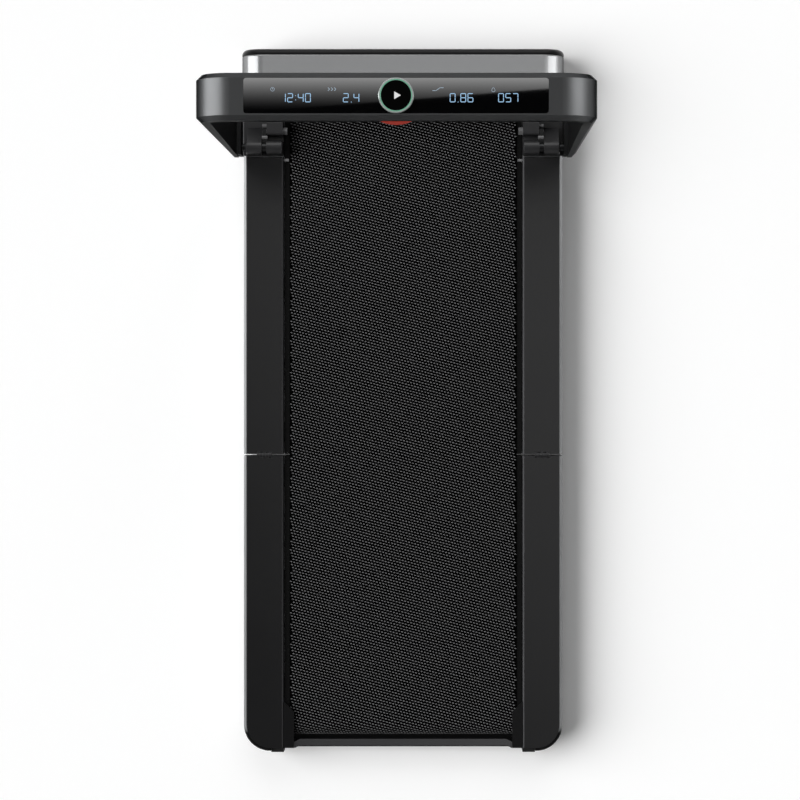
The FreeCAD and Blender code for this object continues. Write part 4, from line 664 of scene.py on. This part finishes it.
def grip_lozenges():
    """Long six-sided lozenges along the rows of a slanted lattice: a wide foot and a smaller top each."""
    total = 2 * BEND_LENGTH + RUN_LENGTH
    reach = int((total + 2 * BELT_HALF) / LATTICE_STEP)
    column, row = (a.ravel() for a in np.meshgrid(*[np.arange(-reach, reach)] * 2, indexing="ij"))
    x_middle = column * LATTICE_STEP + row * LATTICE_SLANT
    s_middle = row * LATTICE_STEP + column * LATTICE_SLANT
    on_belt = np.abs(x_middle) < BELT_HALF - GRIP_MARGIN
    on_belt &= np.abs(s_middle - total / 2) < total / 2 - GRIP_MARGIN
    x_middle, s_middle = x_middle[on_belt], s_middle[on_belt]
    along = np.array([1, 0, 0, -1, 0, 0]) * GRIP_LONG + np.array([0, 1, -1, 0, -1, 1]) * GRIP_SHOULDER
    across = np.array([0, -1, -1, 0, 1, 1]) * GRIP_WIDE
    tilt = math.atan2(LATTICE_SLANT, LATTICE_STEP)
    share = np.repeat([1.0, GRIP_TOP], 6)
    x = x_middle[:, None] + np.tile(along * math.cos(tilt) - across * math.sin(tilt), 2) * share
    s = s_middle[:, None] + np.tile(along * math.sin(tilt) + across * math.cos(tilt), 2) * share
    rise = np.repeat([-GRIP_SUNK, GRIP_RISE], 6)
    y, z, out_y, out_z = belt_path(s)
    points = np.stack([x, y + out_y * rise, z + out_z * rise], -1)
    return points[x_middle < 0].reshape(-1, 3), points[x_middle >= 0].reshape(-1, 3)


def prism_faces(count):
    """Faces of many six-sided frusta, twelve points each: six sides, and two quads at each end."""
    around = np.arange(6)
    sides = np.stack([around, (around + 1) % 6, 6 + (around + 1) % 6, 6 + around], -1)
    shape = np.concatenate([sides, [[6, 7, 8, 9], [6, 9, 10, 11], [3, 2, 1, 0], [5, 4, 3, 0]]])
    return (np.arange(count)[:, None, None] * 12 + shape).reshape(-1, 4)


def belting():
    """Black belting; the lozenges are paler than the ground between them."""
    finish = make_finish("walking_belt", (0.0008, 0.0008, 0.0008), 0.7, cloud=0.7, edge=1.0, grain=700.0,
                         bump=0.2, specular=0.03)
    tree = finish.node_tree
    shader = tree.nodes["Principled BSDF"]
    ground = shader.inputs["Base Color"].links[0].from_socket
    raised = tree.nodes.new("ShaderNodeAttribute")
    raised.attribute_name = "raised"
    tone = mix_colour(tree, raised.outputs["Fac"], ground, (0.145, 0.145, 0.148))
    tree.links.new(tone, shader.inputs["Base Color"])
    return finish


BELTING = belting()
FOLD_ZONE = 0.02
fold_s = BEND_LENGTH + FRONT_ROLLER - FOLD_Y
along = np.concatenate([
    np.linspace(0, BEND_LENGTH, 25),
    np.linspace(BEND_LENGTH, fold_s - FOLD_ZONE, 24)[1:-1],
    fold_s + np.linspace(-FOLD_ZONE, FOLD_ZONE, 27),
    np.linspace(fold_s + FOLD_ZONE, BEND_LENGTH + RUN_LENGTH, 20)[1:-1],
    BEND_LENGTH + RUN_LENGTH + np.linspace(0, BEND_LENGTH, 25),
])
along = np.concatenate([[0], along, along[-1:]])
upper_belt = make_piece("walking_belt_upper", *swept_belt(*belt_path(along)), BELTING, slot="walking_belt")
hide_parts("belt_front", "belt_rear")
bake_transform(upper_belt)
for side, grip_points in zip(("left", "right"), grip_lozenges()):
    count = len(grip_points) // 12
    grip_mask = np.tile(np.repeat([0.0, 1.0], 6), count)
    grip = make_piece(f"belt_grip_{side}", grip_points, prism_faces(count), BELTING,
                      slot="walking_belt", raised=grip_mask)
    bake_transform(grip)
    print("grip lozenges:", count)

RETURN_ZONE = 0.035
return_y = np.concatenate([
    np.linspace(REAR_ROLLER, FOLD_Y - RETURN_ZONE, 16)[:-1],
    np.linspace(FOLD_Y - RETURN_ZONE, FOLD_Y + RETURN_ZONE, 36),
    np.linspace(FOLD_Y + RETURN_ZONE, FRONT_ROLLER, 18)[1:],
])
return_y = np.concatenate([return_y[:1], return_y, return_y[-1:]])
ones = np.ones_like(return_y)
low_z = (ROLLER_HEIGHT - BELT_RADIUS) * ones
lower_belt = make_piece("walking_belt_return", *swept_belt(return_y, low_z, 0 * ones, -ones), BELTING,
                        slot="walking_belt")
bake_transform(lower_belt)
print("belt rows:", len(along), len(return_y))

# %% [markdown]
# The foot rails end in a thin rolled lip beside the belt. It is a bar with a low half-round
# section that lies on the rail's bevel, so one section carried along Y makes it.

# %% Rail lips
LIP_INNER, LIP_OUTER = 0.2471, 0.2502
LIP_LOW, LIP_TOP, LIP_BULGE = 0.0731, 0.0762, 0.0005
LIPS = {"front_deck": (-0.1080, 0.5053), "rear_deck": (-0.7150, -0.1120)}


def lip_section(side, y, steps=8):
    """Half round over the bevel, from its lower to its upper edge, closed by a chord inside the rail."""
    t = np.linspace(0, 1, steps)
    bulge = LIP_BULGE * np.sin(np.pi * t)
    x = LIP_INNER + (LIP_OUTER - LIP_INNER) * t - bulge
    z = LIP_LOW + (LIP_TOP - LIP_LOW) * t + bulge
    x, z = np.append(x, LIP_OUTER), np.append(z, LIP_LOW)
    points = np.stack([side * x, np.full_like(x, y), z], -1)
    return points if side > 0 else points[::-1]


# The lip's grey, far paler than the black rail, is a painted highlight along the rail's inner edge.
lip_highlight_finish = make_finish("rail_lip", (0.05, 0.05, 0.052), 0.4, edge=1.2)
for body, (rear, front) in LIPS.items():
    lips = [loft([lip_section(side, y) for y in (rear, front)]) for side in (-1, 1)]
    make_piece(f"rail_lips_{body}", *merged(lips), lip_highlight_finish, body, "black_step")
print("rail lips:", len(LIPS))

# %% [markdown]
# The display lies behind black glass and shows bars of pale light. Each bar is a flat six-sided
# prism between two points, so one function makes the digits and the small signs above them. The
# numbers are this lesson's own.

# %% Bars of light
GLASS_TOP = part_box("display_glass")[1][2]
BAR_RISE = 0.00015
BAR_GAP = 0.0001


def light_bars(starts, stops, width, base):
    """Prisms with pointed ends: half a width in from each end, the outline steps half a width aside.

    A small gap at both ends keeps bars that meet at a corner apart."""
    starts, stops = np.array(starts, float), np.array(stops, float)
    way = (stops - starts) / np.linalg.norm(stops - starts, axis=1, keepdims=True)
    starts, stops = starts + way * BAR_GAP, stops - way * BAR_GAP
    run = way * width / 2
    aside = np.stack([-run[:, 1], run[:, 0]], -1)
    outline = np.stack([starts, starts + run - aside, stops - run - aside, stops, stops - run + aside,
                        starts + run + aside], 1)
    levels = np.full((*outline.shape[:2], 1), base)
    low = np.concatenate([outline, levels - BAR_RISE], -1)
    high = np.concatenate([outline, levels + BAR_RISE], -1)
    points = np.concatenate([low, high], 1)
    return points.reshape(-1, 3), prism_faces(len(starts))


def light_finish(name, colour, strength):
    """Black surface that glows in one colour."""
    finish = make_finish(name, (0.01, 0.01, 0.012), 0.3, bump=0.0)
    shader = finish.node_tree.nodes["Principled BSDF"]
    shader.inputs["Emission Color"].default_value = (*colour, 1)
    shader.inputs["Emission Strength"].default_value = strength
    return finish


# %% Display digits
DIGIT_WIDE, DIGIT_HIGH, DIGIT_BAR = 0.0090, 0.0150, 0.0014
DIGIT_PITCH, MARK_PITCH = 0.0126, 0.0060
DIGIT_ROW = 0.5427
BAR_SHARE = 0.97
DOT_HALF, DOT_SHIFT = 0.0010, 0.0008
CORNERS = np.array([[-1, 1], [1, 1], [1, 0], [1, -1], [-1, -1], [-1, 0]]) * [DIGIT_WIDE / 2, DIGIT_HIGH / 2]
SEGMENTS = {"a": (0, 1), "b": (1, 2), "c": (2, 3), "d": (3, 4), "e": (4, 5), "f": (5, 0), "g": (5, 2)}
LIT = {"0": "abcdef", "1": "bc", "2": "abged", "4": "fgbc", "5": "afgcd", "6": "afgedc", "7": "abc",
       "8": "abcdefg"}
READINGS = {"12:40": -0.1498, "2.4": -0.0649, "0.86": 0.1348, "057": 0.2136}


def reading_bars(text, right_end):
    """Start and stop points of the bars of one reading, laid out from its right end to the left."""
    starts, stops = [], []
    x = right_end
    for sign in reversed(text):
        if sign in LIT:
            middle = np.array([x - DIGIT_WIDE / 2, DIGIT_ROW])
            ends = [SEGMENTS[segment] for segment in LIT[sign]]
            starts += [middle + CORNERS[a] * BAR_SHARE for a, b in ends]
            stops += [middle + CORNERS[b] * BAR_SHARE for a, b in ends]
            x -= DIGIT_PITCH
        else:
            rows = (-1, 1) if sign == ":" else (-2,)
            dots = [np.array([x - DOT_SHIFT, DIGIT_ROW + row * DIGIT_HIGH / 4]) for row in rows]
            starts += [dot - [DOT_HALF, 0] for dot in dots]
            stops += [dot + [DOT_HALF, 0] for dot in dots]
            x -= MARK_PITCH
    return starts, stops


bar_ends = [reading_bars(text, right) for text, right in READINGS.items()]
bar_starts = np.concatenate([starts for starts, _ in bar_ends])
bar_stops = np.concatenate([stops for _, stops in bar_ends])
digit_bars = light_bars(bar_starts, bar_stops, DIGIT_BAR, GLASS_TOP)
digit_glow = light_finish("digit_glow", (0.40, 0.66, 0.95), 0.80)
make_piece("display_digits", *digit_bars, digit_glow, "handrail", "display_black")
print("display bars:", len(digit_bars[0]) // 12)

# %% [markdown]
# Above each reading stands a small sign: a clock face, an arrow row, a way between two points and
# a drop. They are thin bars too, along polygons.

# %% Display signs
SIGN_ROW = 0.5577
SIGN_BAR = 0.0010
CLOCK_X, ARROWS_X, WAY_X, DROP_X = -0.2163, -0.112, 0.0735, 0.1705
CLOCK_RADIUS, ARROW_STEP, DROP_RADIUS, DROP_SHIFT = 0.0034, 0.0055, 0.0029, 0.0008


def outline_bars(points, closed=False):
    """Bars that follow a chain of points."""
    points = np.array(points)
    after = np.roll(points, -1, 0)
    return (points, after) if closed else (points[:-1], after[:-1])


turn = np.linspace(0, 2 * np.pi, 12, endpoint=False)
clock_middle = np.array([CLOCK_X, SIGN_ROW])
clock = clock_middle + CLOCK_RADIUS * np.stack([np.cos(turn), np.sin(turn)], -1)
hands = clock_middle + np.array([[0, 0.0022], [0, 0], [0.0017, 0]])
arrow = np.array([[-0.0020, 0.0030], [0.0014, 0], [-0.0020, -0.0030]])
arrows = [np.array([ARROWS_X + step * ARROW_STEP, SIGN_ROW]) + arrow for step in (-1, 0, 1)]
way = np.array([WAY_X, SIGN_ROW]) + np.array(
    [[-0.0100, -0.0025], [-0.0035, -0.0025], [0.0035, 0.0025], [0.0100, 0.0025]])
drop = np.array([DROP_X, SIGN_ROW - DROP_SHIFT]) + DROP_RADIUS * np.stack(
    [np.sin(turn) * (1 - 0.45 * np.cos(turn)), np.cos(turn) + 0.35 * np.cos(turn) ** 3], -1)
chains = [outline_bars(clock, True), outline_bars(hands), outline_bars(way), outline_bars(drop, True)]
chains += [outline_bars(chain) for chain in arrows]
sign_starts = np.concatenate([starts for starts, _ in chains])
sign_stops = np.concatenate([stops for _, stops in chains])
sign_bars = light_bars(sign_starts, sign_stops, SIGN_BAR, GLASS_TOP)
sign_glow = light_finish("sign_glow", (0.30, 0.38, 0.46), 1.1)
make_piece("display_signs", *sign_bars, sign_glow, "handrail", "display_black")
print("sign bars:", len(sign_bars[0]) // 12)

# %% [markdown]
# The knob has a thin lit ring inside its metal rim, and its button a plain white start mark that
# glows as painted light. Both are surfaces of revolution; the mark is one with three steps only.

# %% Knob light and start mark
KNOB_Y = (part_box("knob_ring")[0][1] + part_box("knob_ring")[1][1]) / 2
RING_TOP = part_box("knob_ring")[1][2]
BUTTON_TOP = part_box("knob_button")[1][2]
turn = np.linspace(0, 2 * np.pi, 10, endpoint=False)
GLOW_RADIUS, GLOW_WIDE, GLOW_RISE = 0.0276, 0.0006, 0.0003
ring_profile = np.stack([GLOW_RADIUS + GLOW_WIDE * np.cos(turn), GLOW_RISE * np.sin(turn)], -1)
knob_light = turned(ring_profile, (0, KNOB_Y, RING_TOP), steps=72, ring=True)
knob_glow = light_finish("knob_glow", (0.08, 0.42, 0.24), 0.9)
make_piece("knob_light", *knob_light, knob_glow, "knob_ring", "knob_metal")
MARK_RADIUS, MARK_SUNK, MARK_RISE, MARK_SHIFT = 0.0078, 0.0002, 0.00015, 0.0008
mark_profile = [(0, -MARK_SUNK), (MARK_RADIUS, -MARK_SUNK), (MARK_RADIUS, MARK_RISE), (0, MARK_RISE)]
start_mark = turned(mark_profile, (MARK_SHIFT, KNOB_Y, BUTTON_TOP), steps=3)
# The plain mark is given a glow of its own: painted light.
mark_glowing_white = light_finish("mark_glowing_white", (0.9, 0.9, 0.9), 0.8)
make_piece("start_mark", *start_mark, mark_glowing_white, "knob_button", "knob_black")
print("knob middle:", round(KNOB_Y, 4))

# %% [markdown]
# Small metal parts: screws that hold the pans, the console cover and the hinge plates, and pins
# across the slots of the handrail hinges. A screw is one turned profile with a sunk drive, copied to
# its places.

# %% Screws and pins
def screw(size, tall, facing):
    """Pan head: rim, crown and a sunk round drive; facing is 1 up or -1 down."""
    profile = [(0, -0.3), (1.0, -0.3), (1.0, 0.45), (0.82, 0.85), (0.5, 1.0), (0.42, 0.45), (0, 0.45)]
    profile = [(r * size, h * tall * facing) for r, h in profile]
    return turned(profile[::facing], (0, 0, 0), steps=20)


PAN_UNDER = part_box("belly_pan_front")[0][2]
COVER_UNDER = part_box("console_lower_cover")[0][2]
PLATE_TOP = 0.074
SIDES = (-1, 1)
PAN_X, CORNER_X, CORNER_Y, PLATE_Y = 0.316, 0.296, -0.690, 0.5855
front_pan = [(side * PAN_X, y, PAN_UNDER) for side in SIDES for y in (-0.092, 0.130, 0.352, 0.574)]
rear_pan = [(side * PAN_X, y, PAN_UNDER) for side in SIDES for y in (-0.128, -0.316, -0.504)]
rear_pan += [(side * CORNER_X, CORNER_Y, PAN_UNDER) for side in SIDES]
plate = [(side * x, PLATE_Y, PLATE_TOP) for side in SIDES for x in (0.262, 0.310)]
cover = [(side * x, y, COVER_UNDER) for side in SIDES for x in (0.130, 0.268) for y in (0.5165, 0.5745)]
down, up = screw(0.0042, 0.0016, -1), screw(0.0045, 0.0018, 1)
small = screw(0.0028, 0.0012, -1)
dark_steel = FINISHES["hinge_casting"]
front_screws = merged([copies(down, front_pan), copies(up, plate)])
make_piece("screws_front", *front_screws, dark_steel, "front_deck", "hinge_casting")
make_piece("screws_rear", *copies(down, rear_pan), dark_steel, "rear_deck", "hinge_casting")
make_piece("screws_console", *copies(small, cover), dark_steel, "handrail", "hinge_casting")

PIN_RADIUS, PIN_BEVEL = 0.0042, 0.0004
PIN_FROM, PIN_TO = 0.2780, 0.2895
PIN_PLACE, RIVET_PLACE = (0, 0.5682, 0.0975), (0, 0.5432, 0.1042)
pin_profile = [(0, PIN_FROM), (PIN_RADIUS - PIN_BEVEL, PIN_FROM), (PIN_RADIUS, PIN_FROM + PIN_BEVEL),
               (PIN_RADIUS, PIN_TO - PIN_BEVEL), (PIN_RADIUS - PIN_BEVEL, PIN_TO), (0, PIN_TO)]
pin_points, pin_faces = turned(pin_profile, (0, 0, 0), around="X", steps=24)
mirror_points = pin_points * [-1, 1, 1]
pin_pair = merged([(pin_points, pin_faces), (mirror_points, pin_faces[:, ::-1])])
pin_steel = FINISHES["pin_steel"]
make_piece("hinge_pins", *copies(pin_pair, [PIN_PLACE]), pin_steel, "front_deck", "bright_steel")
make_piece("finger_rivets", *copies(pin_pair, [RIVET_PLACE]), pin_steel, "handrail", "bright_steel")
print("screws:", len(front_pan) + len(rear_pan) + len(plate) + len(cover))

# %% [markdown]
# A belt guide is a bright tab from the foot rail that keeps the belt's edge down at the front. A
# rubber seal runs along the deck's flank behind each hinge plate and closes the gap there. Its pale
# grey is painted light, which lifts it where it lies in shade between the post and the hinge.

# %% Belt guides and flank seals
def bar_section(side, y, low, high, steps=6):
    """Rounded rectangle across X and Z at one place along Y, between two corners (x, z)."""
    corner = np.linspace(0, np.pi / 2, steps)
    middle = (np.array(low) + np.array(high)) / 2
    half = (np.array(high) - np.array(low)) / 2
    radius = 0.45 * half.min()
    turn = np.concatenate([corner + k * np.pi / 2 for k in range(4)])
    sign_x, sign_z = np.repeat([1, -1, -1, 1], steps), np.repeat([1, 1, -1, -1], steps)
    x = middle[0] + sign_x * (half[0] - radius) + radius * np.cos(turn)
    z = middle[1] + sign_z * (half[1] - radius) + radius * np.sin(turn)
    points = np.stack([side * x, np.full_like(x, y), z], -1)
    return points[::-1] if side > 0 else points


GUIDE = ((0.2362, 0.0707), (0.2472, 0.0731))
GUIDE_ENDS = (0.4968, 0.5018)
SEAL = ((0.3285, 0.030), (0.3325, 0.070))
SEAL_ENDS = (0.5085, 0.592)
guides = [loft([bar_section(side, y, *GUIDE) for y in GUIDE_ENDS]) for side in SIDES]
make_piece("belt_guides", *merged(guides), FINISHES["bright_steel"], "front_deck", "bright_steel")
seals = [loft([bar_section(side, y, *SEAL) for y in SEAL_ENDS]) for side in SIDES]
# The seals' pale grey is painted light on parts that lie in shade.
make_piece("flank_seals", *merged(seals), FINISHES["seal_grey"], "front_deck", "soft_rubber")
print("belt guides:", len(guides), "seals:", len(seals))

# %% End
bpy.context.view_layer.update()
